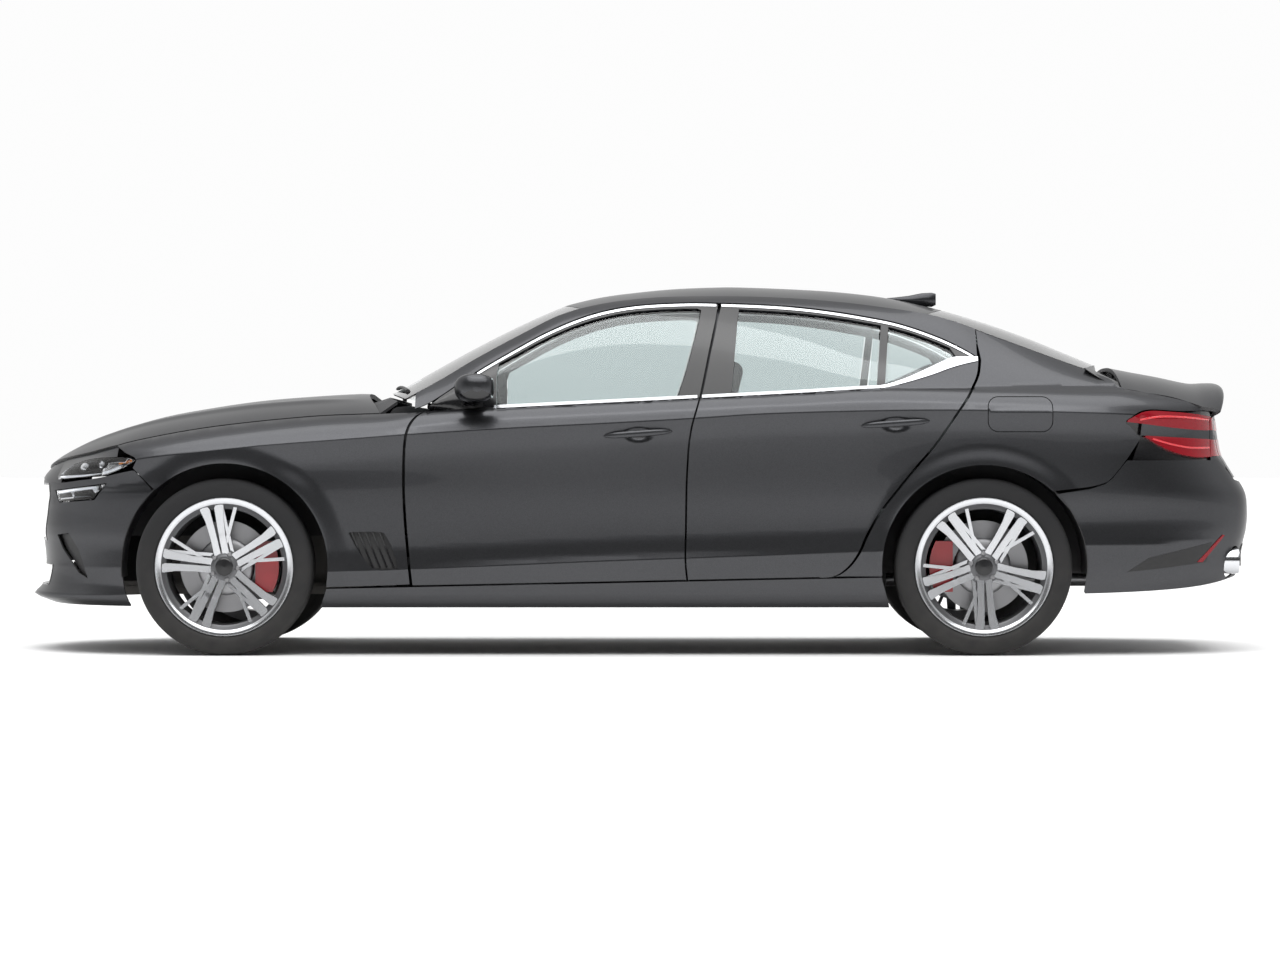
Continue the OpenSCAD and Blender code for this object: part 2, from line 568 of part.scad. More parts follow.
module pane(low, high, first, last, nu, nv) {
    g = patch(spread(low, nu), spread(high, nu), spread(first, nv), spread(last, nv));
    a = [for (r = g) [for (p = r) [p[0], glass_y(p[0], p[1]) - 6, p[1]]]];
    b = [for (r = a) [for (p = r) p - [0, glass_t, 0]]];
    sheet(a, b, true);
}
function win_pt(x, d) = [x, curve(win_z, x) - d];
module hinge_leaves(px) for (z = [hinge_low, hinge_high]) {
    tube_z(px, pin_y, pin_r, z - 34, z + 34);
    for (s = [-1, 1]) {
        tube_z(px, pin_y, eye_r, min(z + s * 15, z + s * 34), max(z + s * 15, z + s * 34));
        box([px - 100, pin_y - 8, min(z + s * 15, z + s * 34)], [px, pin_y, max(z + s * 15, z + s * 34)]);
    }
}
module handle(x, z) {
    y = half_y(x, z) + 24;
    hull() {
        translate([x + 118, y - 4, z - 8]) sphere(r = 10, $fn = 16);
        translate([x, y, z]) sphere(r = 11, $fn = 16);
        translate([x - 112, y - 2, z + 9]) sphere(r = 10, $fn = 16);
    }
    for (d = [-100, 105]) tube_y(x + d, z - d * 0.08, 9, y - 40, y);
}
front_cols = [0, 0.05, 0.085, 0.092, 0.2, 0.32, 0.44, 0.56, 0.68, 0.8, 0.9, 0.965, 0.972, 1];
rear_cols = [0, 0.06, 0.13, 0.14, 0.25, 0.4, 0.55, 0.7, 0.82, 0.92, 0.965, 1];
front_outer = concat([[786, 925], [742, 962], [700, 991], [655, 1021], [610, 1051]],
    [for (x = [560, 500, 440, 380, 310, 240, 160, 80, 0, -90, -180, -250]) win_pt(x, gap / 2)],
    [[-306, 1316], [-296, 1258], [-282, 1195], [-268, 1130], [-254, 1060], [-240, 995], [-226, 930]]);
front_inner = concat([[752, 880], [700, 884], [640, 888], [527, 894], [527, 990]],
    [[527, 1060], [518, 1093]], [for (x = [446, 384, 314, 243, 162, 81, 0, -88, -172]) win_pt(x, 21)],
    [[-228, 1302], [-243, 1300], [-236, 1258], [-221, 1195], [-204, 1130], [-185, 1060], [-163, 995],
        [-143, 930]]);
module door_front() color(paint) {
    door_lower(line_a, line_b, front_cols, 3, 2);
    door_frame(front_outer, front_inner);
    hinge_leaves(front_pin_x);
    handle(-10, 828);
}
module door_front_left() door_front();
module door_front_right() mirror([0, 1, 0]) door_front();
rear_outer = concat([[-235, 930], [-250, 995], [-264, 1060], [-278, 1130], [-293, 1195], [-306, 1258],
    [-320, 1316]],
    [for (x = [-400, -480, -560, -640, -720, -800, -880, -960, -1040, -1110, -1170, -1220]) win_pt(x,
        gap / 2)], [[-1262, 1122]]);
rear_inner = concat([[-351, 930], [-356, 995], [-362, 1060], [-368, 1130], [-374, 1195], [-380, 1258],
    [-386, 1300]],
    [for (x = [-420, -490, -565, -642, -720, -800, -878, -955, -1030, -1092, -1140, -1180]) win_pt(x,
        21)], [[-1215, 1098]]);
module door_rear() color(paint) {
    door_lower(line_b, line_c, rear_cols, 3, 2);
    door_frame(rear_outer, rear_inner);
    door_frame([[-900, 980], [-912, 1100], [-924, 1262]], [[-928, 980], [-940, 1100], [-952, 1254]]);
    hinge_leaves(rear_pin_x);
    handle(-970, 866);
}
module door_rear_left() door_rear();
module door_rear_right() mirror([0, 1, 0]) door_rear();
module glass_front() color(clear) pane([for (x = [525.5, 300, 75, -149.5]) [x, curve(top_z, x) + 1]],
    concat([[523, 1060]], [for (x = [446, 384, 314, 243, 162, 81, 0, -88, -172]) win_pt(x, 26)],
        [[-240, 1296]]), [[525.5, 928.6], [523, 1060]], [[-149.5, 963], [-161.5, 995], [-183.5, 1060],
            [-202.5, 1130], [-219.5, 1195],
        [-234.5, 1258], [-240, 1296]], 20, 6);
module glass_front_left() glass_front();
module glass_front_right() mirror([0, 1, 0]) glass_front();
module glass_rear() color(clear) {
    pane([for (x = [-358, -540, -720, -898]) [x, curve(top_z, x) + 8]],
        [for (x = [-388, -490, -565, -642, -720, -800, -919]) win_pt(x, 24)],
        [[-358, 980], [-388, 1296]], [[-898, 1009.5], [-919, 1236]], 12, 6);
    pane([[-934, 1012], [-1010, 1030], [-1105, 1059], [-1180, 1086]], [for (x = [-955, -1030, -1092,
        -1140, -1180]) win_pt(x, 24)],
        [[-934, 1012], [-955, 1228]], [[-1180, 1086], [-1180, 1148]], 8, 4);
}
module glass_rear_left() glass_rear();
module glass_rear_right() mirror([0, 1, 0]) glass_rear();
module mirror_body() color(paint) {
    hull() {
        translate([640, 915, 985]) sphere(r = 45, $fn = 20);
        translate([575, 985, 990]) sphere(r = 48, $fn = 20);
        translate([575, 905, 1000]) sphere(r = 44, $fn = 20);
        translate([650, 960, 975]) sphere(r = 36, $fn = 20);
    }
    hull() {
        translate([632, 885, 966]) sphere(r = 18, $fn = 16);
        translate([590, 798.6, 930]) cube([60, 1, 34]);
    }
}
module mirror_left() mirror_body();
module mirror_right() mirror([0, 1, 0]) mirror_body();

// Front wing around the wheel arch
module fenders() color(paint) both() {
    low = concat([[849, 266], [1000, 260], [1158, 256]], arch(front_axle_x, front_arch_r, 189, 48, 12));
    high = [for (x = [798, 900, 1000, 1130, 1270, 1390, 1510, 1645, 1740, 1835, 1900, 1957]) [x,
        curve(top_z, x) - 4]];
    first = [[849, 266], [854, 320], [861, 394], [868, 470], [873, 545], [876, 620], [876, 700], [873,
        780],
        [865, 832], [850, 870], [828, 896], [798, 910]];
    last = [[1801.4, 619], [1846.4, 659], [1887.4, 700], [1870, 732], [1915, 754], [1957, 783]];
    g = patch(spread(low, 24), spread(high, 24), spread(first, 12), spread(last, 12));
    sheet(lift(g), sink(g, skin_t));
}
// Rear side panel with the C-pillar: strips from the arch and bumper line out to the door and roof lines
quarter_rows = 11;
arch_steps = [-2, 18, 36, 52, 65, 74, 82, 88, 93, 97, 101, 105, 110, 117, 125, 132];
quarter_in = concat([[-786, 297], [-850, 297]],
    [for (t = arch_steps) [rear_axle_x + rear_arch_r * cos(t), axle_z + rear_arch_r * sin(t)]],
    [[-1692, 630], [-1741, 643], [-1772, 662], [-1832, 735], [-1838, 800], [-1826, 868],
        [-1866, 893], [-1905, 918], [-1975, 916], [-2040, 914], [-2130, 909]]);
quarter_out = concat([for (i = [2, 4, 5, 6, 7, 8, 9, 10, 11, 12, 13, 14]) line_c[i] - [gap / 2 + 4, 0]],
    [[-1304, 1163], [-1310, 1209], [-1375, 1186], [-1480, 1149], [-1560, 1119], [-1602, 1103],
        [-1700, 1067], [-1735, 1052], [-1757, 1043], [-1781, 1031], [-1791, 1023], [-1800, 1014],
        [-1850, 988], [-1915, 976], [-1990, 960], [-2060, 945], [-2130, 914]]);
module quarter_panels() color(paint) both() {
    g = [for (j = [0:quarter_rows]) [for (i = [0:len(quarter_in) - 1])
        mix(quarter_in[i], quarter_out[i], j / quarter_rows)]];
    sheet(lift(g), sink(g, skin_t), true);
}
// Fuel flap on the left rear panel, with its hinge barrel along the front edge
flap_x = -1430;
flap_z = 901;
flap_in = 4;
flap_out = 8;
function flap_outline() =
    [for (c = [[0, 1, 1], [90, -1, 1], [180, -1, -1], [270, 1, -1]]) for (a = [0:15:90])
        [flap_x + c[1] * 82 + 37 * cos(c[0] + a), flap_z + c[2] * 27 + 37 * sin(c[0] + a)]];
module fuel_flap() color(paint) {
    intersection() {
        xs = [for (i = [0:8]) flap_x - 140 + i * 35];
        zs = [for (i = [0:8]) flap_z - 81 + i * 20];
        g = [for (z = zs) [for (x = xs) [x, z]]];
        sheet(sink(g, -flap_out), sink(g, -flap_in));
        side_cut(flap_outline(), 700, 1000);
    }
    tube_z(flap_x + 119, 922, 3.5, flap_z - 36, flap_z + 36);
}

// Panels across the car: middle line and edges run in steps, bowed in between
function span(c0, c1, e0, e1, n, vs, drop) = [for (i = [0:n]) let (u = i / n, c = mix(c0, c1, u),
    e = mix(e0, e1, u))
    [for (v = vs) let (q = abs(v)) [mix(c, e, q * q), v * (curve(edge_y, e) - 1.6),
        mix(curve(spine_z, c), curve(edge_z, e), pow(q, 2.2)) - drop]]];
cross_steps = [-1, -0.85, -0.65, -0.4, -0.15, 0.15, 0.4, 0.65, 0.85, 1];
module roof() color(paint) {
    sheet(span(-1184, 282, -1098, 212, 16, cross_steps, 0), span(-1184, 282, -1098, 212, 16,
        cross_steps, 20));
    hull() {
        translate([-1000, 0, 1345]) sphere(r = 10, $fn = 16);
        translate([-1140, 0, 1372]) sphere(r = 6, $fn = 16);
        translate([-1150, 0, 1318]) sphere(r = 16, $fn = 16);
        translate([-1010, 0, 1340]) sphere(r = 14, $fn = 16);
    }
}
module windscreen() color(clear)
    sheet(span(285, 950, 215, 872, 12, cross_steps, 0), span(285, 950, 215, 872, 12, cross_steps, 6));
module rear_window() color(clear)
    sheet(span(-1774, -1187, -1690, -1101, 12, cross_steps, 0), span(-1774, -1187, -1690, -1101, 12,
        cross_steps, 6));

// Bonnet with its hinge leaves
lead_x = [[0, 2290], [0.5, 2262], [0.75, 2190], [0.9, 2085], [1, 1957]];
cowl_x = [[0, 1035], [0.5, 1022], [1, 968]];
function bonnet_grid(drop) = [for (i = [0:16]) let (u = i / 16)
    [for (v = [-1, -0.96, -0.88, -0.75, -0.55, -0.3, 0, 0.3, 0.55, 0.75, 0.88, 0.96, 1])
        let (q = abs(v), x = mix(curve(cowl_x, q), curve(lead_x, q), u))
        [x, v * (curve(top_y, x) - 2), mix(curve(spine_z, x), curve(top_z, x), pow(q, 2.4)) - drop]]];
module bonnet() color(paint) {
    sheet(bonnet_grid(0), bonnet_grid(22));
    both() {
        box([bonnet_pin_x, 646, bonnet_pin_z - 7], [1010, 668, bonnet_pin_z + 7]);
        tube_y(bonnet_pin_x, bonnet_pin_z, 9, 646, 668);
        tube_y(bonnet_pin_x, bonnet_pin_z, pin_r, 640, 696);
    }
}

// Boot lid: each row of its profile has a place, half width, side drop and side pull
lid_rows = [[-1824, 1085, 731, 86, 0], [-1870, 1076, 728, 84, 0], [-1917, 1067, 724, 84, 0], [-2010,
    1050, 711, 82, 0],
    [-2104, 1030, 694, 88, 4], [-2150, 1024, 686, 94, 14], [-2198, 1026, 672, 100, 30], [-2238, 1025,
        655, 104, 46],
    [-2256, 1014, 645, 100, 50], [-2252, 996, 632, 90, 50], [-2234, 970, 615, 74, 48], [-2226, 940,
        595, 50, 46],
    [-2225, 900, 575, 20, 46], [-2234, 830, 560, 0, 44], [-2246, 758, 552, 0, 42], [-2262, 727, 550, 0,
        40],
    [-2290, 680, 548, 0, 38], [-2300, 664, 546, 0, 38]];
lid_steps = [-1, -0.92, -0.8, -0.6, -0.35, 0, 0.35, 0.6, 0.8, 0.92, 1];
function lid_pt(r, v, d) = let (q = abs(v), i = max(0, r - 1), k = min(len(lid_rows) - 1, r + 1),
    tx = lid_rows[k][0] - lid_rows[i][0], tz = lid_rows[k][1] - lid_rows[i][1], l = norm([tx, tz]),
        w = lid_rows[r])
    [w[0] + w[4] * pow(q, 3) - d * tz / l, v * (w[2] - 2), w[1] - w[3] * pow(q, 2.6) + d * tx / l];
module boot_lid() color(paint) {
    sheet([for (r = [0:len(lid_rows) - 1]) [for (v = lid_steps) lid_pt(r, v, 0)]],
        [for (r = [0:len(lid_rows) - 1]) [for (v = lid_steps) lid_pt(r, v, 16)]], true);
    both() {
        box([-1880, 340, boot_pin_z - 8], [boot_pin_x, 360, boot_pin_z + 4]);
        tube_y(boot_pin_x, boot_pin_z, 8, 340, 360);
        tube_y(boot_pin_x, boot_pin_z, pin_r, 330, 390);
    }
}

// Bumpers: points at a height and a share of the half width
function nose_pt(w, z) = let (x = nose_start + (curve(nose_x, z) - nose_start) * pow(max(0, 1 - w * w),
    1 / 3.6)) [x, lower_y(x, z) * w, z];
function tail_pt(w, z) = let (x = tail_start + (curve(tail_x, z) - tail_start) * sqrt(max(0,
    1 - pow(abs(w), 5)))) [x, lower_y(x, z) * w, z];
nose_side = [[180, 1900], [250, 1922], [331, 1932], [450, 1912], [540, 1872], [614, 1808], [660, 1852],
    [704, 1896]];
nose_top = [[0, 664], [0.3, 656], [0.5, 644], [0.62, 643], [0.72, 650], [0.84, 664], [0.94, 696]];
tail_side = [[226, -1668], [331, -1682], [450, -1663], [540, -1619], [602, -1563], [622, -1694], [640,
    -1748], [660, -1775],
    [730, -1834]];
tail_low = [[0, 290], [0.6, 284], [0.85, 250], [1, 230]];
tail_high = [[0, 644], [0.66, 644], [0.74, 716], [0.8, 726], [1, 728]];
function nose_col(i, n, z) = mix(plan(curve(nose_side, z), z), 0, i / n);
function tail_col(i, n, z) = mix(plan(curve(tail_side, z), z), 0, i / n);
function turn_in(a, b, p, t) = let (d = b - a, n = [d[1], -d[0], 0]) p + n * (t / norm(n));
function nose_grid(t, n) = [for (f = [0, 0.034, 0.0682, 0.11, 0.17, 0.28, 0.42, 0.56, 0.7, 0.84, 1])
    [for (k = [-n:n])
    let (i = n - abs(k), s = k < 0 ? -1 : 1, zt = curve(nose_top, nose_col(i, n, 690)), z = mix(181,
        zt, f), w = nose_col(i, n, z) * s,
        e = 0.01) turn_in(nose_pt(w - e * 0.5, z), nose_pt(w + e * 0.5, z), nose_pt(w, z), t)]];
function tail_grid(t, n) = [for (f = [0, 0.2, 0.4, 0.6, 0.776, 1, 1.16, 1.42, 1.7, 2]) [for (k = [-n:n])
    let (i = n - abs(k), s = k < 0 ? -1 : 1, wq = 0.98 * (1 - i / n), z = f <= 1 ? mix(curve(tail_low,
        wq), 602, f) : mix(602, curve(tail_high, wq), f - 1),
        w = tail_col(i, n, z) * s, e = 0.01)
        turn_in(tail_pt(w + e * 0.5, z), tail_pt(w - e * 0.5, z), tail_pt(w, z), t)]];
module nose_holes(d) {
    for (p = [[[-390, 640], [390, 640], [410, 600], [330, 420], [-330, 420], [-410, 600]],
        [[-420, 330], [420, 330], [380, 250], [-380, 250]]])
        translate([2000, 0, 0]) rotate([90, 0, 90]) linear_extrude(500) offset(delta = d) polygon(p);
    both() side_cut([[2205, 445], [2152, 453], [2107, 389], [2069, 283], [2107, 302], [2183, 396]],
        300, 1000);
}
low_lamp = [[1996, 640], [2214, 612], [2195, 570], [2046, 582]];
module front_bumper() color(paint) difference() {
    sheet(nose_grid(0, 10), nose_grid(-26, 10));
    nose_holes(0);
    both() side_cut([[1984, 647], [2221, 618], [2202, 562], [2034, 574]], 300, 1000);
    tube_x(tow_y, tow_z, 28, 2100, 2400);
}
module rear_bumper() color(paint) difference() {
    sheet(tail_grid(0, 12), tail_grid(-24, 12), true);
    both() tube_x(600, 345, 60, -2400, -2100);
    tube_x(-330, 520, 26, -2400, -2250);
}
module grille() color(dark) difference() {
    sheet(nose_grid(-27, 10), nose_grid(-40, 10));
    box([1500, -1000, 100], [2400, -430, 800]);
    box([1500, 430, 100], [2400, 1000, 800]);
    box([1500, -1000, 100], [2400, 1000, 232]);
    box([1500, -1000, 648], [2400, 1000, 800]);
    for (z = [268:24:320]) box([2000, -370, z], [2400, 370, z + 14]);
    for (z = [440:28:630]) box([2000, -310, z], [2400, 310, z + 18]);
}
module lens(low, high, t, nu, nv) {
    n = len(low) - 1;
    k = len(high) - 1;
    g = patch(spread(low, nu), spread(high, nu), spread([low[0], high[0]], nv), spread([low[n],
        high[k]], nv));
    sheet(lift(g), sink(g, t));
}
module headlamps() color(clear) both() {
    lens([[1884, 722], [1930, 697], [1984, 675], [2060, 664], [2135, 660], [2204, 655]],
        [[1884, 730], [1960, 739], [2030, 736], [2100, 723], [2160, 694], [2204, 662]], 16, 12, 4);
    lens([[2046, 583], [2195, 571]], [[1997, 638], [2212, 611]], 12, 8, 3);
}
module tail_lamps() color("red") both() {
    lens_back([[-2170, 841], [-2100, 843], [-2000, 852], [-1889, 866]], [[-2170, 893], [-2100, 903],
        [-2000, 911], [-1889, 890]], 0, 30);
    lens_back([[-2170, 742], [-2096, 742], [-2002, 764], [-1902, 816]], [[-2170, 808], [-2100, 811],
        [-2000, 816], [-1902, 821]], 0, 20);
}
module lens_back(low, high, t0, t1) {
    g = patch(spread(low, 9), spread(high, 9), spread([low[0], high[0]], 3), spread([low[3], high[3]],
        3));
    sheet(sink(g, t0), sink(g, t1));
}

// Seats: two in front and a bench behind
module seat(y, w) {
    translate([0, y + w / 2, 0]) rotate([90, 0,
        0]) linear_extrude(w) offset(r = 30) offset(delta = -30) polygon(
        [[330, 330], [330, 430], [290, 460], [-120, 420], [-300, 940], [-390, 930], [-260, 330]]);
    translate([0, y + w * 0.3, 0]) rotate([90, 0,
        0]) linear_extrude(w * 0.6) offset(r = 25) offset(delta = -25) polygon(
        [[-296, 935], [-335, 1095], [-400, 1085], [-384, 925]]);
    for (s = [-1, 1]) box([-240, y + s * w * 0.38 - 20, floor_z + floor_t], [300,
        y + s * w * 0.38 + 20, 345]);
}
module seats() color([0.15, 0.15, 0.16]) {
    seat(422, 480);
    seat(-422, 480);
    translate([0, 540, 0]) rotate([90, 0,
        0]) linear_extrude(1080) offset(r = 30) offset(delta = -30) polygon(
        [[-720, 445.3], [-720, 500], [-800, 510], [-1120, 470], [-1270, 960], [-1294.7, 960], [-1294.7,
            445.3]]);
    box([-930, -540, 445.2], [-800, 540, 460]);
}
module dashboard() color(dark) {
    translate([0, 650, 0]) rotate([90, 0,
        0]) linear_extrude(1300) offset(r = 40) offset(delta = -40) polygon(
        [[935, 560], [935, 926], [860, 934], [640, 900], [620, 780], [700, 700], [720, 560]]);
    both() box([906, 640, 600], [934, 701.7, 860]);
    translate([690, 420, 800]) rotate([0, -70, 0]) cylinder(r = 30, h = 94.3);
}
wheel_at = [585, 420, 838];
module steering_wheel() color(dark) translate(wheel_at) rotate([0, -70, 0]) {
    rotate_extrude($fn = 64) translate([172, 0]) circle(r = 15, $fn = 20);
    cylinder(r = 55, h = 34, center = true);
    for (a = [0, 90, 180]) rotate([0, 0, a]) translate([0, -20, -8]) cube([170, 40, 16]);
}

floor();
axles();
engine();
exhaust();
rear_calipers();
side_frames();
quarter_panels();
fenders();
roof();
windscreen();
rear_window();
front_bumper();
grille();
rear_bumper();
headlamps();
tail_lamps();
seats();
dashboard();
steering_wheel();
bonnet();
boot_lid();
fuel_flap();
door_front_left();
door_front_right();
door_rear_left();
door_rear_right();
glass_front_left();
glass_front_right();
glass_rear_left();
glass_rear_right();
mirror_left();
mirror_right();
knuckle_left();
knuckle_right();
caliper_left();
caliper_right();
tyre_front_left();
tyre_front_right();
tyre_rear_left();
tyre_rear_right();
rim_front_left();
rim_front_right();
rim_rear_left();
rim_rear_right();
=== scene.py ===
# %% [markdown]
# # A dark grey sports sedan
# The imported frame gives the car's bodies and joints. This lesson dresses it: smooth panels follow the
# same body lines as the solid model, then come the wheels, glass, lamps, cabin and the studio.
# %% Load the frame
import math
import bpy
import numpy as np
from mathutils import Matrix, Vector
from mathutils.geometry import delaunay_2d_cdt
from mathutils.kdtree import KDTree


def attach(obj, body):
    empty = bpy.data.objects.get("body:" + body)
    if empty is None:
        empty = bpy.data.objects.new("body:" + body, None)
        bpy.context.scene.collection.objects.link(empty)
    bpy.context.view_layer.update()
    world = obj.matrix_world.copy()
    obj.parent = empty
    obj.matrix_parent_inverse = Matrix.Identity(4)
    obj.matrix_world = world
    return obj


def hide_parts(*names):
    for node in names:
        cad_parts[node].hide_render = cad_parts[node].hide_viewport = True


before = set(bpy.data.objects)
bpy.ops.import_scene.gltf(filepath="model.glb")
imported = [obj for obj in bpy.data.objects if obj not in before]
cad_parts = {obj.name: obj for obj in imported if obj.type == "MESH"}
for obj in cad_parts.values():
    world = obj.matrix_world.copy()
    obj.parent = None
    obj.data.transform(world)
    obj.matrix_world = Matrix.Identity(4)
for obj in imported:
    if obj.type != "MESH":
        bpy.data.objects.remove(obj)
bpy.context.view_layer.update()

# %% [markdown]
# ## Body lines
# A car body is drawn as a few lines in side view, each with a height and a half width along the car.
# All sizes are millimetres, X forward and Z up. The values are read off the photo and rounded.
# %% Lines along the car
crease_z = [(-2350, 850), (-2150, 880), (-1800, 903), (-1460, 913), (-1160, 917), (-830, 913), (-460, 902),
            (-200, 885), (140, 866), (440, 851), (870, 825), (1140, 805), (1390, 786), (1600, 766),
            (1870, 733), (2100, 690), (2320, 650)]
crease_y = [(-2350, 905), (-1800, 912), (-1300, 916), (-900, 908), (-300, 903), (400, 902), (880, 902),
            (1300, 908), (1540, 910), (1900, 906), (2350, 900)]
mid_y = [(-2350, 900), (-1800, 903), (-1300, 911), (-850, 893), (-300, 888), (400, 887), (870, 890),
         (1200, 897), (1540, 907), (1900, 904), (2350, 897)]
low_z = [(-2350, 430), (-1300, 402), (-830, 387), (-530, 376), (-200, 364), (140, 352), (510, 336),
         (880, 320), (1300, 310), (2350, 330)]
low_y = [(-2350, 905), (-1300, 912), (-830, 897), (-200, 898), (500, 898), (870, 896), (1200, 900),
         (1540, 909), (2350, 902)]
top_z = [(-2240, 890), (-2130, 924), (-2070, 952), (-1940, 979), (-1830, 999), (-1730, 1004), (-1500, 1006),
         (-1290, 1004), (-910, 1002), (-610, 985), (-240, 966), (140, 947), (525, 928), (800, 914),
         (955, 907), (1155, 900), (1270, 892), (1455, 874), (1645, 850), (1835, 816), (1960, 786),
         (2100, 735), (2250, 690), (2300, 676)]
top_y = [(-2240, 560), (-2130, 690), (-2070, 705), (-1940, 725), (-1830, 735), (-1730, 745), (-1500, 775),
         (-1290, 800), (-910, 820), (-610, 824), (-240, 826), (140, 826), (525, 824), (800, 802), (955, 748),
         (1155, 732), (1455, 725), (1645, 717), (1835, 702), (1960, 685), (2100, 600), (2250, 380),
         (2300, 180)]
win_z = [(-1290, 1110), (-1244, 1140), (-1144, 1190), (-994, 1243), (-844, 1274), (-693, 1297), (-541, 1312),
         (-314, 1322), (-163, 1323), (26, 1310), (177, 1277), (328, 1216), (476, 1135), (608, 1056),
         (776, 943), (870, 905)]
win_y = [(-1290, 690), (-1144, 646), (-994, 622), (-844, 610), (-541, 604), (-163, 605), (26, 611),
         (177, 627), (328, 660), (476, 702), (608, 742), (776, 792), (870, 806)]
edge_z = [(-1740, 1058), (-1600, 1108), (-1375, 1191), (-1148, 1271), (-921, 1310), (-694, 1335),
          (-466, 1348), (-239, 1350), (-50, 1344), (139, 1320), (291, 1278), (442, 1202), (594, 1119),
          (745, 1028), (878, 956)]
edge_y = [(-1740, 622), (-1600, 600), (-1375, 575), (-1148, 555), (-921, 541), (-694, 535), (-239, 535),
          (-50, 540), (139, 552), (291, 577), (442, 616), (594, 660), (745, 702), (878, 735)]
spine_z = [(-2240, 1024), (-2150, 1023), (-2104, 1029), (-2010, 1050), (-1917, 1067), (-1823, 1085),
           (-1776, 1094), (-1730, 1113), (-1636, 1152), (-1542, 1191), (-1448, 1226), (-1355, 1258),
           (-1187, 1308), (-980, 1355), (-792, 1379), (-605, 1391), (-420, 1398), (-330, 1399), (-136, 1391),
           (51, 1372), (145, 1358), (238, 1337), (285, 1323), (426, 1262), (613, 1169), (800, 1066),
           (894, 1012), (950, 986), (1081, 984), (1269, 973), (1456, 957), (1644, 930), (1831, 895),
           (2018, 840), (2112, 805), (2206, 758), (2253, 727), (2299, 688)]
nose_x = [(178, 2255), (200, 2318), (215, 2342), (240, 2318), (262, 2304), (336, 2296), (414, 2303),
          (453, 2311), (532, 2308), (650, 2305), (690, 2299)]
tail_x = [(226, -2225), (285, -2290), (414, -2324), (473, -2338), (532, -2342), (606, -2333), (671, -2296),
          (727, -2262), (758, -2246), (906, -2224), (960, -2230), (1010, -2250)]
nose_start, tail_start = 1300, -1500
front_axle, rear_axle, axle_z = 1540, -1295, 331
front_arch, rear_arch = 387, 381
gap = 3.5
kick_x, scuttle_x = -912, 800

# %% [markdown]
# The lines become smooth curves, and the curves a surface: the half width of the body at any place.
# Below the shoulder crease the side is hollow, above it rolls in to the window base. The nose and tail
# are rounded in plan, and a small flare stands out around each wheel arch.
# %% Half width of the body
def curve(knots, x):
    x = np.asarray(x, float)
    k = [(a + 0 * x, b + 0 * x) for a, b in knots]
    n = len(k)

    def slope(i):
        a, b = max(0, i - 1), min(n - 1, i + 1)
        return (k[b][1] - k[a][1]) / (k[b][0] - k[a][0])
    out = None
    for i in range(n - 1):
        h = k[i + 1][0] - k[i][0]
        t = np.clip((x - k[i][0]) / h, 0, 1)
        s = 1 - t
        v = (k[i][1] * (1 + 2 * t) * s * s + slope(i) * h * t * s * s
             + k[i + 1][1] * t * t * (3 - 2 * t) - slope(i + 1) * h * t * t * s)
        out = v if out is None else np.where(x >= k[i][0], v, out)
    return out


def mix(a, b, t):
    return a + (b - a) * t


def ease(t):
    c = np.clip(t, 0, 1)
    return c * c * (3 - 2 * c)


def plan(x, z):
    f = np.clip((x - nose_start) / (curve(nose_x, z) - nose_start), 0, 1)
    b = np.clip((tail_start - x) / (tail_start - curve(tail_x, z)), 0, 1)
    return np.where(x > nose_start, np.sqrt(1 - f ** 3.6), np.where(x < tail_start, (1 - b ** 2) ** 0.2, 1.0))


def lip(x, z, ax, r):
    return 14 * (1 - ease((np.hypot(x - ax, z - axle_z) - r) / 80))


def lower_y(x, z):
    zl, yl, zs, ys, ym = (curve(k, x) for k in (low_z, low_y, crease_z, crease_y, mid_y))
    below = curve([(150, yl - 100), (178, yl - 62), (205, yl - 28), (262, yl - 13), (zl, yl)], z)
    above = curve([(zl, yl), (zl + 30, mix(yl, ym, 0.8)), (zl + 85, ym - 4), (610, ym), (zs - 90, ys - 11),
                   (zs, ys)], z)
    return np.where(z < zl, below, above)


def upper_y(x, z):
    zs = curve(crease_z, x)
    ys = curve(crease_y, x) * plan(x, zs)
    zt, yt = curve(top_z, x), curve(top_y, x)
    return curve([(zs, ys), (mix(zs, zt, 0.45), mix(ys, yt, 0.22)), (mix(zs, zt, 0.8), mix(ys, yt, 0.58)),
                  (zt, yt)], z)


def pillar_y(x, z):
    zt, yt, ze, ye = (curve(k, x) for k in (top_z, top_y, edge_z, edge_y))
    t = (z - zt) / (ze - zt)
    return mix(yt, ye, t) + 60 * t * (1 - t)


def glass_y(x, z):
    zt, zw, yw = (curve(k, x) for k in (top_z, win_z, win_y))
    t = (z - zt) / np.maximum(40, zw - zt)
    return mix(curve(top_y, x) - 22, yw, t) + 44 * t * (1 - t)


def half_y(x, z):
    x, z = np.asarray(x, float), np.asarray(z, float)
    side = lower_y(x, z) * plan(x, z) + lip(x, z, front_axle, front_arch) + lip(x, z, rear_axle, rear_arch)
    top = np.where(x < kick_x, pillar_y(x, z), np.where(x < scuttle_x, glass_y(x, z), curve(top_y, x)))
    return np.where(z <= curve(crease_z, x), side, np.where(z <= curve(top_z, x), upper_y(x, z), top))


print("half width mid door", float(half_y(0, 600)))

# %% [markdown]
# ## Making pieces
# A panel is an outline in a flat plan, filled with triangles that keep to its edges and creases, then
# lifted onto the body and given a thickness with a hem. The normals come from the surface itself, so
# reflections run clean across the triangles.
# %% Mesh helpers
MM = 0.001


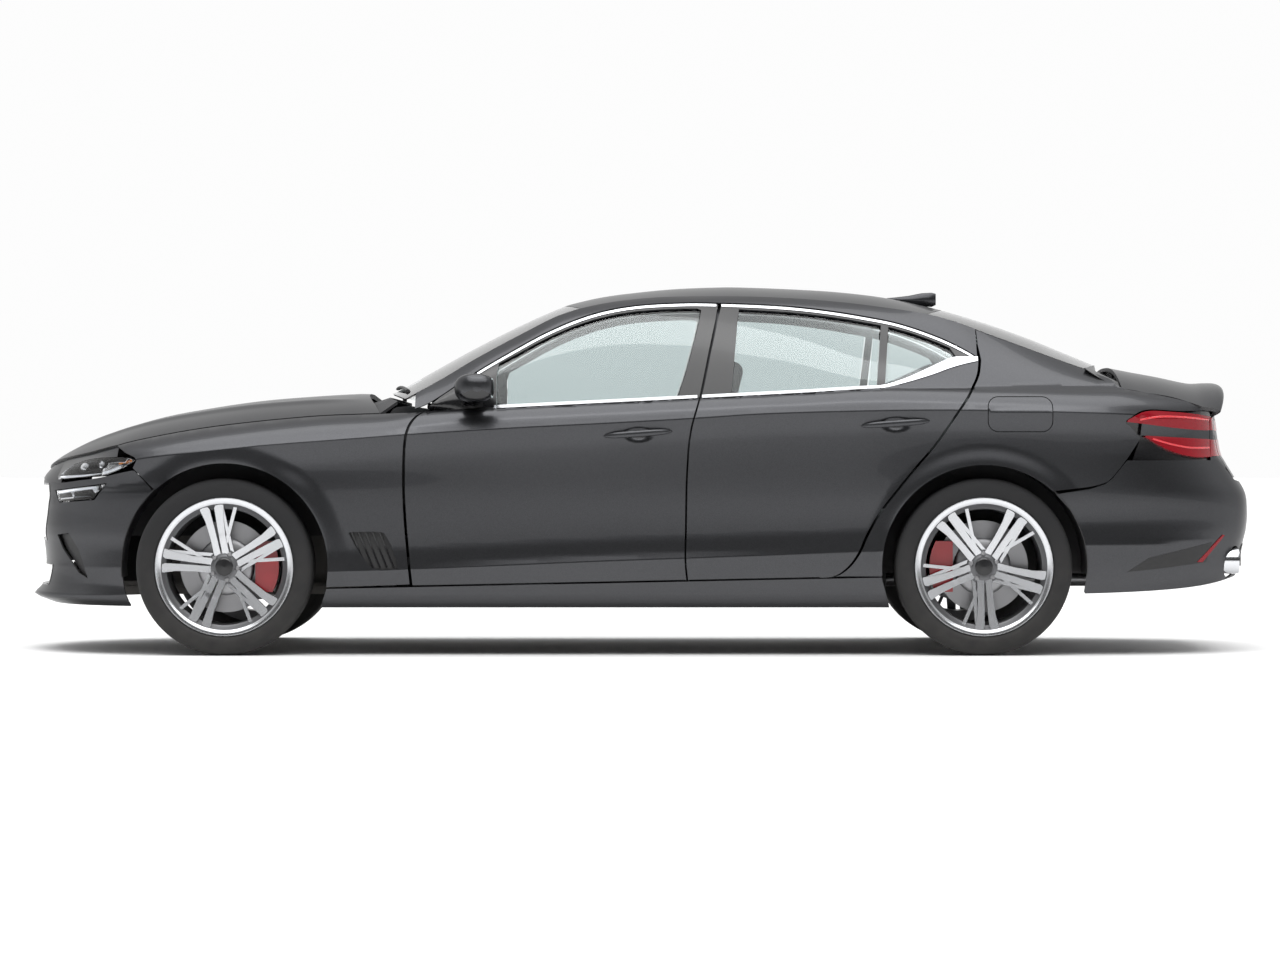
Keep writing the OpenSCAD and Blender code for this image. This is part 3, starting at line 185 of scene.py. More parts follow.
def add(name, verts, faces, mats, body, normals=None, index=None, swap=(), angle=32):
    me = bpy.data.meshes.new(name)
    me.from_pydata((np.asarray(verts, float) * MM).tolist(), [], [list(map(int, f)) for f in faces])
    me.update()
    me.shade_smooth()
    for m in mats if isinstance(mats, (list, tuple)) else [mats]:
        me.materials.append(m)
    if index is not None:
        me.polygons.foreach_set("material_index", np.asarray(index, np.int32))
    if normals is None:
        me.set_sharp_from_angle(angle=math.radians(angle))
    else:
        me.normals_split_custom_set_from_vertices(np.asarray(normals, float).tolist())
    o = bpy.data.objects.new(name, me)
    bpy.context.scene.collection.objects.link(o)
    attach(o, body)
    if swap:
        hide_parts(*swap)
    return o


def skin(P, tris, N, t):
    P, N, tris = np.asarray(P, float), np.asarray(N, float), np.asarray(tris, int)
    c = np.cross(P[tris[:, 1]] - P[tris[:, 0]], P[tris[:, 2]] - P[tris[:, 0]])
    wrong = np.einsum("ij,ij->i", c, N[tris].sum(1)) < 0
    tris[wrong] = tris[wrong][:, ::-1]
    n, Q = len(P), P - N * t
    used = {(a, b) for f in tris.tolist() for a, b in ((f[0], f[1]), (f[1], f[2]), (f[2], f[0]))}
    V, M, F = [P, Q], [N, -N], tris.tolist() + (tris[:, ::-1] + n).tolist()
    k = 2 * n
    for a, b in used:
        if (b, a) not in used:
            w = np.cross(P[b] - P[a], N[a])
            w = w / (np.linalg.norm(w) + 1e-9)
            V.append(np.array([P[b], P[a], Q[a], Q[b]]))
            M.append(np.array([w] * 4))
            F.append([k, k + 1, k + 2, k + 3])
            k += 4
    index = [0] * len(tris) + [1] * (len(F) - len(tris))
    return np.concatenate(V), F, np.concatenate(M), index


def inside(poly, p):
    a, b = np.asarray(poly, float), np.roll(np.asarray(poly, float), -1, 0)
    p = np.asarray(p, float)
    x, y = p[:, :1], p[:, 1:]
    cut = (a[:, 1] > y) != (b[:, 1] > y)
    with np.errstate(divide="ignore", invalid="ignore"):
        hit = x < (b[:, 0] - a[:, 0]) * (y - a[:, 1]) / (b[:, 1] - a[:, 1]) + a[:, 0]
    return (np.sum(cut & hit, 1) % 2) == 1


def dense(p, d, closed=False):
    p = [np.array(q, float) for q in p]
    out = []
    for a, b in zip(p, p[1:] + ([p[0]] if closed else [])):
        m = max(1, int(math.ceil(np.linalg.norm(b - a) / d)))
        out += [a + (b - a) * i / m for i in range(m)]
    return out if closed else out + [p[-1]]


def smooth(p, per=6):
    p = [np.array(q, float) for q in p]
    out = []
    for i in range(len(p) - 1):
        a, b, c, d = p[max(0, i - 1)], p[i], p[i + 1], p[min(len(p) - 1, i + 2)]
        for f in np.arange(per) / per:
            out.append(b + 0.5 * f * ((c - a) + f * (2 * a - 5 * b + 4 * c - d + f * (3 * (b - c) + d - a))))
    return out + [p[-1]]


# %% [markdown]
# The filling uses a constrained triangulation: outline, holes and creases are kept as edges and a loose
# grid of points gives the size of the triangles between them.
# %% Panel helper
def fill(outline, step, holes=(), creases=(), fine=()):
    pts, edges = [], []
    for poly, closed in [(outline, True)] + [(h, True) for h in holes] + [(c, False) for c in creases]:
        q = dense(poly, step, closed)
        s = len(pts)
        pts += [tuple(v) for v in q]
        edges += [(s + i, s + i + 1) for i in range(len(q) - 1)] + ([(len(pts) - 1, s)] if closed else [])
    tree = KDTree(len(pts))
    for i, p in enumerate(pts):
        tree.insert((p[0], p[1], 0), i)
    tree.balance()
    lo, hi = np.min(outline, 0), np.max(outline, 0)
    grids = [(lo, hi, step)] + [((c[0] - c[2], c[1] - c[3]), (c[0] + c[2], c[1] + c[3]), c[4]) for c in fine]
    for a, b, d in grids:
        g = [(x, y) for j, y in enumerate(np.arange(a[1] + d / 2, b[1], d * 0.866))
             for x in np.arange(a[0] + d * (0.5 if j % 2 else 0.25), b[0], d)]
        keep = inside(outline, g)
        pts += [p for p, k in zip(g, keep) if k and tree.find((p[0], p[1], 0))[2] > 0.5 * d]
    v, _, f, _, _, _ = delaunay_2d_cdt([Vector(p) for p in pts], edges, [], 0, 1e-3)
    uv = np.array([(p.x, p.y) for p in v])
    f = np.array([list(t) for t in f if len(t) == 3])
    mid = uv[f].mean(1)
    ok = inside(outline, mid)
    for h in holes:
        ok &= ~inside(h, mid)
    return uv, f[ok]


def lifted(uv, lift, out):
    e = 1.5
    P = np.stack(lift(uv[:, 0], uv[:, 1]), 1)
    du = np.stack(lift(uv[:, 0] + e, uv[:, 1]), 1) - np.stack(lift(uv[:, 0] - e, uv[:, 1]), 1)
    dv = np.stack(lift(uv[:, 0], uv[:, 1] + e), 1) - np.stack(lift(uv[:, 0], uv[:, 1] - e), 1)
    N = np.cross(du, dv)
    N /= np.linalg.norm(N, axis=1)[:, None] + 1e-9
    flip = np.sign((N @ np.array(out, float)).mean())
    return P, N * flip


def pair(name, P, tris, N, t, mats, bodies, swap=((), ())):
    V, F, M, index = skin(P, tris, N, t)
    mats = list(mats) if isinstance(mats, (list, tuple)) else [mats, mats]
    left = add(name + "_left", V, F, mats, bodies[0], M, index, swap[0])
    flip = np.array([1, -1, 1])
    right = add(name + "_right", V * flip, [f[::-1] for f in F], mats, bodies[1], M * flip, index, swap[1])
    return left, right


def side(off=0.0, base=half_y):
    return lambda x, z: (x, base(x, z) + off, z)


def side_panel(name, outline, t, mats, bodies, swap=((), ()), step=16, lift=None, **kw):
    uv, f = fill(outline, step, **kw)
    P, N = lifted(uv, lift or side(), (0, 1, 0))
    return pair(name, P, f, N, t, mats, bodies, swap)


def grid(P, out):
    P = np.asarray(P, float)
    m, n = P.shape[:2]
    N = np.cross(np.gradient(P, axis=0), np.gradient(P, axis=1))
    N /= np.linalg.norm(N, axis=2)[..., None] + 1e-9
    N = N.reshape(-1, 3)
    N *= np.sign((N @ np.array(out, float)).mean())
    i = np.arange(m * n).reshape(m, n)
    a, b, c, d = (q.ravel() for q in (i[:-1, :-1], i[1:, :-1], i[1:, 1:], i[:-1, 1:]))
    return P.reshape(-1, 3), np.concatenate([np.stack([a, b, c], 1), np.stack([a, c, d], 1)]), N


def one(name, P, tris, N, t, mats, body, swap=()):
    V, F, M, index = skin(P, tris, N, t)
    return add(name, V, F, list(mats) if isinstance(mats, (list, tuple)) else [mats, mats], body, M, index,
               swap)


def cover(name, outline, step, lift, out, t, mats, body, swap=(), **kw):
    uv, f = fill(outline, step, **kw)
    P, N = lifted(uv, lift, out)
    return one(name, P, f, N, t, mats, body, swap)


# %% [markdown]
# ## Finishes
# Shared effects are small node groups: flakes that sparkle in the paint, a fine grain that dulls
# plastics, and a little dust near the ground. Each material then sets its own shader.
# %% Node groups
def group(name, ins, outs):
    g = bpy.data.node_groups.new(name, "ShaderNodeTree")
    for label, kind, value in ins:
        g.interface.new_socket(label, in_out="INPUT", socket_type=kind).default_value = value
    for label, kind in outs:
        g.interface.new_socket(label, in_out="OUTPUT", socket_type=kind)
    return g, g.nodes.new("NodeGroupInput"), g.nodes.new("NodeGroupOutput")


def new_nodes(tree, *kinds):
    return [tree.nodes.new("ShaderNode" + kind) for kind in kinds]


def wire(tree, *ends):
    for a, out, b, into in ends:
        tree.links.new(a.outputs[out], b.inputs[into])


def flake_group():
    g, i, o = group("Paint flake", [("Color", "NodeSocketColor", (0.1, 0.1, 0.1, 1)),
                                    ("Amount", "NodeSocketFloat", 0.3),
                                    ("Scale", "NodeSocketFloat", 900.0)], [("Color", "NodeSocketColor")])
    n, r, m = new_nodes(g, "TexVoronoi", "MapRange", "VectorMath")
    c = g.nodes.new("ShaderNodeTexCoord")
    m.operation = "SCALE"
    s = g.nodes.new("ShaderNodeSeparateColor")
    k = g.nodes.new("ShaderNodeMath")
    k.operation = "MULTIPLY_ADD"
    k.inputs[2].default_value = 1.0
    r.inputs["To Min"].default_value, r.inputs["To Max"].default_value = -0.5, 0.5
    wire(g, (c, "Object", n, "Vector"), (i, "Scale", n, "Scale"), (n, "Color", s, "Color"),
         (s, "Red", r, "Value"), (r, "Result", k, 0), (i, "Amount", k, 1), (i, "Color", m, 0),
         (k, "Value", m, "Scale"), (m, "Vector", o, "Color"))
    return g


def grain_group():
    g, i, o = group("Surface grain", [("Scale", "NodeSocketFloat", 400.0),
                                      ("Strength", "NodeSocketFloat", 0.1)],
                    [("Normal", "NodeSocketVector")])
    c, n, b = new_nodes(g, "TexCoord", "TexNoise", "Bump")
    b.inputs["Distance"].default_value = 0.001
    wire(g, (c, "Object", n, "Vector"), (i, "Scale", n, "Scale"), (i, "Strength", b, "Strength"),
         (n, "Fac", b, "Height"), (b, "Normal", o, "Normal"))
    return g


def dust_group():
    g, i, o = group("Road dust", [("Color", "NodeSocketColor", (0.1, 0.1, 0.1, 1)),
                                  ("Dust", "NodeSocketColor", (0.3, 0.28, 0.25, 1)),
                                  ("Height", "NodeSocketFloat", 0.5), ("Amount", "NodeSocketFloat", 0.2)],
                    [("Color", "NodeSocketColor")])
    p, s, r, n, k, m = new_nodes(g, "NewGeometry", "SeparateXYZ", "MapRange", "TexNoise", "Math", "Mix")
    m.data_type, k.operation = "RGBA", "MULTIPLY"
    n.inputs["Scale"].default_value = 9.0
    r.inputs["To Max"].default_value = 0.0
    wire(g, (p, "Position", s, "Vector"), (s, "Z", r, "Value"), (i, "Height", r, "From Max"),
         (i, "Amount", r, "To Min"), (r, "Result", k, 0), (n, "Fac", k, 1), (k, "Value", m, "Factor"),
         (i, "Color", m, "A"), (i, "Dust", m, "B"), (m, "Result", o, "Color"))
    return g


FLAKE, GRAIN, DUST = flake_group(), grain_group(), dust_group()

# %% [markdown]
# Every finish is one principled shader, with the groups wired in where they apply. The glass lets light
# straight through and only adds the mirror of a clean pane, which keeps the cabin readable.
# %% Materials
def finish(name, color, metal=0.0, rough=0.5, coat=0.0, flake=0.0, grain=0.0, dust=0.0, glow=0.0, spec=0.5):
    m = bpy.data.materials.new(name)
    m.use_nodes = True
    t = m.node_tree
    b = t.nodes["Principled BSDF"]
    b.inputs["Base Color"].default_value = (*color, 1)
    b.inputs["Metallic"].default_value = metal
    b.inputs["Roughness"].default_value = rough
    b.inputs["Coat Weight"].default_value = coat
    b.inputs["Coat Roughness"].default_value = 0.03
    b.inputs["Specular IOR Level"].default_value = spec
    m.diffuse_color = (*color, 1)
    last = None
    for g, on in ((FLAKE, flake), (DUST, dust)):
        if on:
            n = t.nodes.new("ShaderNodeGroup")
            n.node_tree = g
            n.inputs["Color"].default_value = (*color, 1)
            n.inputs["Amount"].default_value = on
            if last:
                t.links.new(last.outputs["Color"], n.inputs["Color"])
            last = n
    if last:
        t.links.new(last.outputs["Color"], b.inputs["Base Color"])
    if grain:
        n = t.nodes.new("ShaderNodeGroup")
        n.node_tree = GRAIN
        n.inputs["Strength"].default_value = grain
        t.links.new(n.outputs["Normal"], b.inputs["Normal"])
    if glow:
        b.inputs["Emission Color"].default_value = (*color, 1)
        b.inputs["Emission Strength"].default_value = glow
    return m


def clear(name, tint, mirror=0.9, ior=1.45):
    m = bpy.data.materials.new(name)
    m.use_nodes = True
    t = m.node_tree
    t.nodes.remove(t.nodes["Principled BSDF"])
    a, g, f, s = new_nodes(t, "BsdfTransparent", "BsdfGlossy", "Fresnel", "MixShader")
    a.inputs["Color"].default_value = (*tint, 1)
    g.inputs["Color"].default_value = (mirror, mirror, mirror, 1)
    g.inputs["Roughness"].default_value = 0.02
    f.inputs["IOR"].default_value = ior
    wire(t, (f, "Fac", s, "Fac"), (a, "BSDF", s, 1), (g, "BSDF", s, 2),
         (s, "Shader", t.nodes["Material Output"], "Surface"))
    m.diffuse_color = (*tint, 0.4)
    return m


paint = finish("paint", (0.056, 0.057, 0.061), metal=0.85, rough=0.3, coat=0.2, flake=0.35, dust=0.04)
paint.node_tree.nodes["Principled BSDF"].inputs["Specular Tint"].default_value = (0.4, 0.4, 0.4, 1)
gloss = finish("gloss black", (0.008, 0.008, 0.009), rough=0.2, coat=0.15)
black = finish("black plastic", (0.016, 0.016, 0.017), rough=0.62, grain=0.25, dust=0.08)
chassis = finish("under coating", (0.022, 0.022, 0.024), rough=0.7, grain=0.3, dust=0.25)
chrome = finish("satin chrome", (0.62, 0.63, 0.65), metal=1.0, rough=0.16)
steel = finish("bare steel", (0.32, 0.32, 0.33), metal=1.0, rough=0.38, grain=0.1, dust=0.1)
iron = finish("cast iron", (0.11, 0.105, 0.1), metal=0.7, rough=0.6, grain=0.4, dust=0.2)
alloy = finish("machined alloy", (0.60, 0.61, 0.63), metal=1.0, rough=0.24, coat=0.3)
pocket = finish("grey wheel paint", (0.13, 0.132, 0.138), metal=0.7, rough=0.4, dust=0.1)
rubber = finish("tyre rubber", (0.014, 0.014, 0.015), rough=0.78, grain=0.35, dust=0.14, spec=0.35)
red = finish("red caliper", (0.42, 0.012, 0.02), rough=0.3, coat=0.6, dust=0.05)
hide = finish("seat leather", (0.03, 0.03, 0.032), rough=0.55, grain=0.5)
trim = finish("cabin trim", (0.035, 0.035, 0.037), rough=0.6, grain=0.4)
white = finish("lamp white", (0.8, 0.82, 0.86), rough=0.25, glow=0.25)
amber = finish("lamp amber", (0.75, 0.22, 0.02), rough=0.25, coat=0.5)
red_lens = finish("red lens", (0.22, 0.003, 0.009), rough=0.2, coat=0.1, spec=0.25)
red_glow = finish("red strip", (0.62, 0.02, 0.03), rough=0.2, coat=0.6)
mirror_mat = finish("mirror glass", (0.75, 0.77, 0.8), metal=1.0, rough=0.03)
glass = clear("window glass", (0.80, 0.84, 0.84))
lens = clear("lamp cover", (0.93, 0.94, 0.95))
print("materials", len(bpy.data.materials))

# %% [markdown]
# ## Doors
# Each door is an outer skin with a hem, a thick inner slab set back from the shut lines, a black window
# frame, glass and hinge leaves. A shallow cup is pressed into the skin behind each handle.
# %% Door outlines
line_a = [(841, 264), (847, 320), (854, 394), (861, 470), (866, 545), (869, 620), (869, 700), (866, 780),
          (858, 832), (843, 868), (820, 896), (790, 916)]
line_b = [(-188, 280), (-181, 357), (-183, 469), (-185, 618), (-189, 711), (-194, 786), (-203, 845),
          (-214, 889), (-236, 962)]
line_c = [(-690, 290), (-742, 298), (-778, 320), (-806, 350), (-832, 391), (-858, 450), (-907, 536),
          (-970, 618), (-1037, 700), (-1102, 775), (-1151, 842), (-1202, 917), (-1240, 973), (-1278, 1045),
          (-1290, 1108)]
kick = [(-1292, 1108), (-1240, 1097), (-1180, 1080), (-1105, 1053), (-1008, 1024), (-912, 1002), (-800, 995)]


def sill_z(x):
    return mix(290, 252, (np.asarray(x, float) + 690) / 1860)


def belt_z(x):
    return np.where(np.asarray(x) > kick_x, curve(top_z, x), curve(kick, x))


def along(f, x0, x1, n=40):
    return [(x, float(f(x))) for x in np.linspace(x0, x1, n)]


def moved(p, dx, dz=0.0):
    return [(q[0] + dx, q[1] + dz) for q in p]


front_door = (moved(smooth(line_a), -gap) + along(belt_z, 782, -230) + moved(smooth(line_b), gap)[::-1]
              + along(lambda x: sill_z(x) + gap, -180, 832))
rear_door = (moved(smooth(line_b), -gap) + along(belt_z, -244, -1284) + moved(smooth(line_c), gap)[::-1]
             + along(lambda x: sill_z(x) + gap, -680, -196))
front_slab = [(700, 300), (722, 600), (715, 830), (690, 885), (-195, 930), (-160, 850), (-140, 620),
              (-145, 300)]
rear_slab = [(-340, 300), (-330, 600), (-345, 850), (-370, 940), (-900, 965), (-1120, 1000), (-1170, 960),
             (-1060, 800), (-930, 640), (-840, 500), (-770, 345), (-690, 312)]
creases = [along(lambda x: curve(k, x) + d, -2200, 2200, 300) for k in (crease_z, low_z) for d in (-4, 4)]
cup_long, cup_high, cup_deep = 66, 31, 13
handles = {"front": (-10, 828), "rear": (-970, 866)}


def cup(x, z, at):
    d = np.hypot((x - at[0] - 4) / cup_long, (z - at[1] + 3) / cup_high)
    return cup_deep * (1 - ease(d)) * (d < 1)


# %% [markdown]
# The same call makes the left door and its mirror image, and says which solid pieces they stand for.
# %% Door skins and slabs
for end, outline, slab in (("front", front_door, front_slab), ("rear", rear_door, rear_slab)):
    at = handles[end]
    bodies = [f"door_{end}_left", f"door_{end}_right"]
    skins = side_panel(f"skin_{end}", outline, 5, paint, bodies, ([bodies[0]], [bodies[1]]), creases=creases,
                       lift=lambda x, z: (x, half_y(x, z) - cup(x, z, at), z), fine=[(at[0], at[1], 75, 40, 6)])
    side_panel(f"inner_{end}", slab, 70, trim, bodies, step=40, lift=side(-7))
    print(end, "door", len(skins[0].data.polygons), "faces")

# %% [markdown]
# The window frames are gloss black bands around the glass. The forward corner carries the mirror, and
# a slim bar splits the rear window.
# %% Window frames and glass
def win(x, d):
    return (x, float(curve(win_z, x)) - d)


front_outer = ([(786, 925), (742, 962), (700, 991), (655, 1021), (610, 1051)]
               + [win(x, gap) for x in (560, 500, 440, 380, 310, 240, 160, 80, 0, -90, -180, -250)]
               + [(-306, 1316), (-296, 1258), (-282, 1195), (-268, 1130), (-254, 1060), (-240, 995),
                  (-232, 958)])
front_inner = ([(770, 900), (700, 904), (640, 908), (527, 914), (527, 990), (527, 1060), (518, 1093)]
               + [win(x, 21) for x in (446, 384, 314, 243, 162, 81, 0, -88, -172)]
               + [(-228, 1302), (-243, 1296), (-236, 1258), (-221, 1195), (-204, 1130), (-185, 1060),
                  (-163, 995), (-152, 950)])
rear_outer = ([(-240, 958), (-250, 995), (-264, 1060), (-278, 1130), (-293, 1195), (-306, 1258), (-320, 1316)]
              + [win(x, gap) for x in range(-400, -1230, -80)] + [(-1262, 1122)])
rear_inner = ([(-351, 960), (-356, 995), (-362, 1060), (-368, 1130), (-374, 1195), (-380, 1258), (-386, 1300)]
              + [win(x, 21) for x in (-420, -490, -565, -642, -720, -800, -878, -955, -1030, -1092, -1140,
                                      -1180)] + [(-1215, 1098)])
front_pane = ([(525, 925), (523, 1060), (514, 1090)]
              + [win(x, 23) for x in (446, 384, 314, 243, 162, 81, 0, -88, -172)]
              + [(-226, 1300), (-240, 1296), (-234, 1258), (-219, 1195), (-202, 1130), (-183, 1060),
                 (-161, 995), (-150, 962)]
              + along(lambda x: curve(top_z, x) + 1, -149, 520, 20))
rear_pane = ([(-356, 974), (-386, 1297)]
             + [win(x, 23) for x in (-420, -490, -565, -642, -720, -800, -878, -917)]
             + [(-898, 1005)] + along(lambda x: curve(top_z, x) + 1, -890, -362, 20))
small_pane = ([(-938, 1016), (-952, 1232)] + [win(x, 23) for x in (-1030, -1092, -1140, -1180)]
              + [(-1200, 1110), (-1180, 1088), (-1105, 1061), (-1010, 1032)])
bar = [(-898, 990), (-924, 1258), (-952, 1252), (-928, 990)]
F, R = ["door_front_left", "door_front_right"], ["door_rear_left", "door_rear_right"]
on_glass = side(4, glass_y)
side_panel("frame_front", front_outer + front_inner[::-1], 30, gloss, F, lift=on_glass, step=20)
side_panel("frame_rear", rear_outer + rear_inner[::-1], 30, gloss, R, lift=on_glass, step=20)
side_panel("frame_bar", bar, 20, gloss, R, lift=on_glass, step=20)
side_panel("pane_front", front_pane, 5, glass, F, (["glass_front_left"], ["glass_front_right"]),
           lift=side(-6, glass_y), step=40)
side_panel("pane_rear", rear_pane, 5, glass, R, (["glass_rear_left"], ["glass_rear_right"]),
           lift=side(-6, glass_y), step=40)
side_panel("pane_small", small_pane, 5, glass, R, lift=side(-6, glass_y), step=40)

# %% [markdown]
# A satin bright strip frames all the side glass. It runs thin along the window base, widens where the
# line kicks up behind the rear door, and returns over the roof side.
# %% Bright trim
def band(name, xs, low, high, lift, t, mat, bodies):
    xs = np.asarray(xs, float)
    P = np.array([np.stack(lift(xs, mix(low(xs), high(xs), f)), 1) for f in np.linspace(0, 1, 4)])
    return pair(name, *grid(P, (0, 1, 0)), t, mat, bodies)


def belt_lift(x, z):
    return x, np.where(x > kick_x, curve(top_y, x) + 6 - 0.3 * (z - curve(top_z, x)), half_y(x, z) + 4), z


def kick_w(x):
    return 8 + 26 * ease((-930 - x) / 260) - 20 * ease((-1180 - x) / 110)


band("belt_front", np.linspace(536, -226, 60), lambda x: belt_z(x) - 3, lambda x: belt_z(x) + 8, belt_lift, 6,
     chrome, F)
band("belt_rear", np.linspace(-244, -911, 50), lambda x: belt_z(x) - 3, lambda x: belt_z(x) + 8, belt_lift, 6,
     chrome, R)
band("kick_rear", np.linspace(-913, -1284, 60), lambda x: belt_z(x) - 3, lambda x: belt_z(x) + kick_w(x),
     belt_lift, 5, chrome, R)
band("upper_front", np.linspace(600, -300, 90), lambda x: curve(win_z, x) - 12, lambda x: curve(win_z, x) - 3,
     side(7, glass_y), 4, chrome, F)
band("upper_rear", np.linspace(-320, -1270, 90), lambda x: curve(win_z, x) - 12, lambda x: curve(win_z, x) - 3,
     side(7, glass_y), 4, chrome, R)

# %% [markdown]
# Handles are smooth pull bars on two feet. The mirrors are rounded shells on a foot, with a dark base,
# a side repeater strip and a glass that faces back. Round sections drawn out along a line make both.
# %% Lofted shapes
def loft(name, rings, mats, body, cap=True, swap=(), index=None, angle=40):
    m, n = len(rings), len(rings[0])
    V = np.concatenate(rings)
    faces = [[j * n + i, j * n + (i + 1) % n, (j + 1) * n + (i + 1) % n, (j + 1) * n + i] for j in range(m - 1)
             for i in range(n)]
    if cap:
        faces += [list(range(n))[::-1], [(m - 1) * n + i for i in range(n)]]
    a = V[faces[0]]
    mid = rings[0].mean(0)
    if np.dot(np.cross(a[1] - a[0], a[2] - a[0]), a[0] - mid) < 0:
        faces = [f[::-1] for f in faces]
    return add(name, V, faces, mats, body, swap=swap, index=index, angle=angle)


def ring(c, u, v, ru, rv, n=28, power=2.0):
    a = np.arange(n) * 2 * math.pi / n
    cu, sv = np.cos(a), np.sin(a)
    s = (np.abs(cu) ** power + np.abs(sv) ** power) ** (-1 / power)
    across = np.outer(cu * s * ru, np.array(u, float))
    return np.array(c, float) + across + np.outer(sv * s * rv, np.array(v, float))


X, Y, Z, BACK = (1, 0, 0), (0, 1, 0), (0, 0, 1), (-1, 0, 0)
for end, (hx, hz) in handles.items():
    for s, tag in ((1, "left"), (-1, "right")):
        body = f"door_{end}_{tag}"
        rings = []
        for f in np.linspace(-1, 1, 25):
            x = hx + 6 + 128 * f
            swell = max(0.03, (1 - abs(f) ** 4)) ** 0.5
            y = float(half_y(x, hz - 9 * f)) + 2 + 25 * (1 - abs(f) ** 3.2)
            rings.append(ring((x, s * y, hz - 9 * f), Y, Z, 8.5 * swell, 12 * swell, 20, 2.4))
        loft(f"handle_{end}_{tag}", rings, paint, body)
mirror_profile = [(0.0, 20, 16), (0.03, 48, 38), (0.12, 66, 48), (0.45, 74, 53), (0.75, 68, 51),
                  (0.92, 50, 42), (1.0, 18, 18)]
for s, tag in ((1, "left"), (-1, "right")):
    rings = []
    for f in np.linspace(0, 1, 30):
        rx, rz = (float(curve([(p[0], p[k]) for p in mirror_profile], f)) for k in (1, 2))
        rings.append(ring((608 - 16 * f * f, s * mix(868, 1028, f), 994 + 8 * f), X, Z, rx, rz, 36, 2.6))
    low = [1 if j > 0 and math.sin(2 * math.pi * (i + 0.5) / 36) < -0.55 else 0 for j in range(29)
           for i in range(36)] + [0, 0]
    loft(f"mirror_shell_{tag}", rings, [paint, gloss], f"door_front_{tag}", swap=[f"mirror_{tag}"], index=low)
    foot = [ring((620 - 6 * f, s * mix(790, 890, f), mix(944, 966, f)), X, Z, mix(44, 34, f), mix(17, 13, f),
                 24, 3) for f in np.linspace(0, 1, 8)]
    loft(f"mirror_foot_{tag}", foot, gloss, f"door_front_{tag}")
    strip = [ring((672 - 5 * f - 46 * f ** 4, s * mix(905, 1020, f), 987 + 6 * f), X, Z, 6, 7, 12)
             for f in np.linspace(0, 1, 16)]
    loft(f"repeater_{tag}", strip, amber, f"door_front_{tag}")
    P = np.array([[(536 + 4 * abs(u), s * (948 + 60 * u), 998 + 36 * v) for u in np.linspace(-1, 1, 7)]
                  for v in np.linspace(-1, 1, 5)])
    one(f"mirror_glass_{tag}", *grid(P, (-1, 0, 0)), 3, mirror_mat, f"door_front_{tag}")

# %% [markdown]
# Door hinges are short pins with a leaf on the door. They sit inside the shut line and only show when a
# door swings out.
# %% Door hinges
pin_y, leaf_y = 875, 868

for end, px in (("front", 809), ("rear", -244)):
    for s, tag in ((1, "left"), (-1, "right")):
        for hz in (350, 790):
            for lo, hi in ((hz - 34, hz - 15), (hz + 15, hz + 34)):
                loft(f"eye_{end}_{tag}_{lo}", [ring((px, s * pin_y, z), X, Y, 8, 8, 20) for z in (lo, hi)],
                     steel, f"door_{end}_{tag}")
                leaf = [ring((x, s * leaf_y, (lo + hi) / 2), Y, Z, 5, 9.5, 8, 6) for x in (px - 4, px - 100)]
                loft(f"leaf_{end}_{tag}_{lo}", leaf, steel, f"door_{end}_{tag}")
            pin = [ring((px, s * pin_y, z), X, Y, 4, 4, 16) for z in (hz - 34, hz + 34)]
            loft(f"pin_{end}_{tag}_{hz}", pin, steel, f"door_{end}_{tag}")

# %% [markdown]
# ## Wings, quarters, sills and roof sides
# The front wings have a vent behind the wheel. The rear quarters carry the roof pillar and the fuel flap
# opening. Arch edges turn in to a dark liner.
# %% Fixed side panels
def arc(ax, r, a0, a1, n):
    return [(ax + r * math.cos(math.radians(a)), axle_z + r * math.sin(math.radians(a)))
            for a in np.linspace(a0, a1, n)]


B = ["body", "body"]
vent = [(1074, 454), (1064, 461), (959, 461), (937, 446), (914, 402), (892, 331), (903, 323), (985, 327),
        (1041, 394)]
wing = ([(849, 266), (1000, 260), (1158, 256)] + arc(front_axle, front_arch, 189, 48, 60)
        + [(1801, 619), (1846, 659), (1887, 700), (1872, 728), (1880, 740), (1915, 756), (1957, 783)]
        + along(lambda x: curve(top_z, x) - 4, 1950, 800, 60)
        + smooth([(828, 896), (850, 870), (865, 832), (873, 780), (876, 700), (876, 620), (873, 545),
                  (868, 470), (861, 394), (854, 320)]))
side_panel("wing", wing, 5, paint, B, (["fenders"], []), creases=creases,
           holes=[smooth(vent + vent[:1], 4)[:-1]], step=14)
side_panel("vent_mesh", [(890, 315), (1085, 315), (1085, 470), (890, 470)], 4, black, B, lift=side(-14),
           step=20)
for k in range(6):
    x = 930 + 26 * k
    side_panel(f"vent_bar_{k}", [(x - 26, 330), (x - 20, 330), (x + 34, 460), (x + 28, 460)], 6, gloss, B,
               lift=side(-8), step=20)


def rounded(cx, cz, hx, hz, r, n=7):
    p = []
    for sx, sz, a0 in ((1, 1, 0), (-1, 1, 90), (-1, -1, 180), (1, -1, 270)):
        for a in np.radians(np.linspace(a0, a0 + 90, n)):
            p.append((cx + sx * (hx - r) + r * math.cos(a), cz + sz * (hz - r) + r * math.sin(a)))
    return p


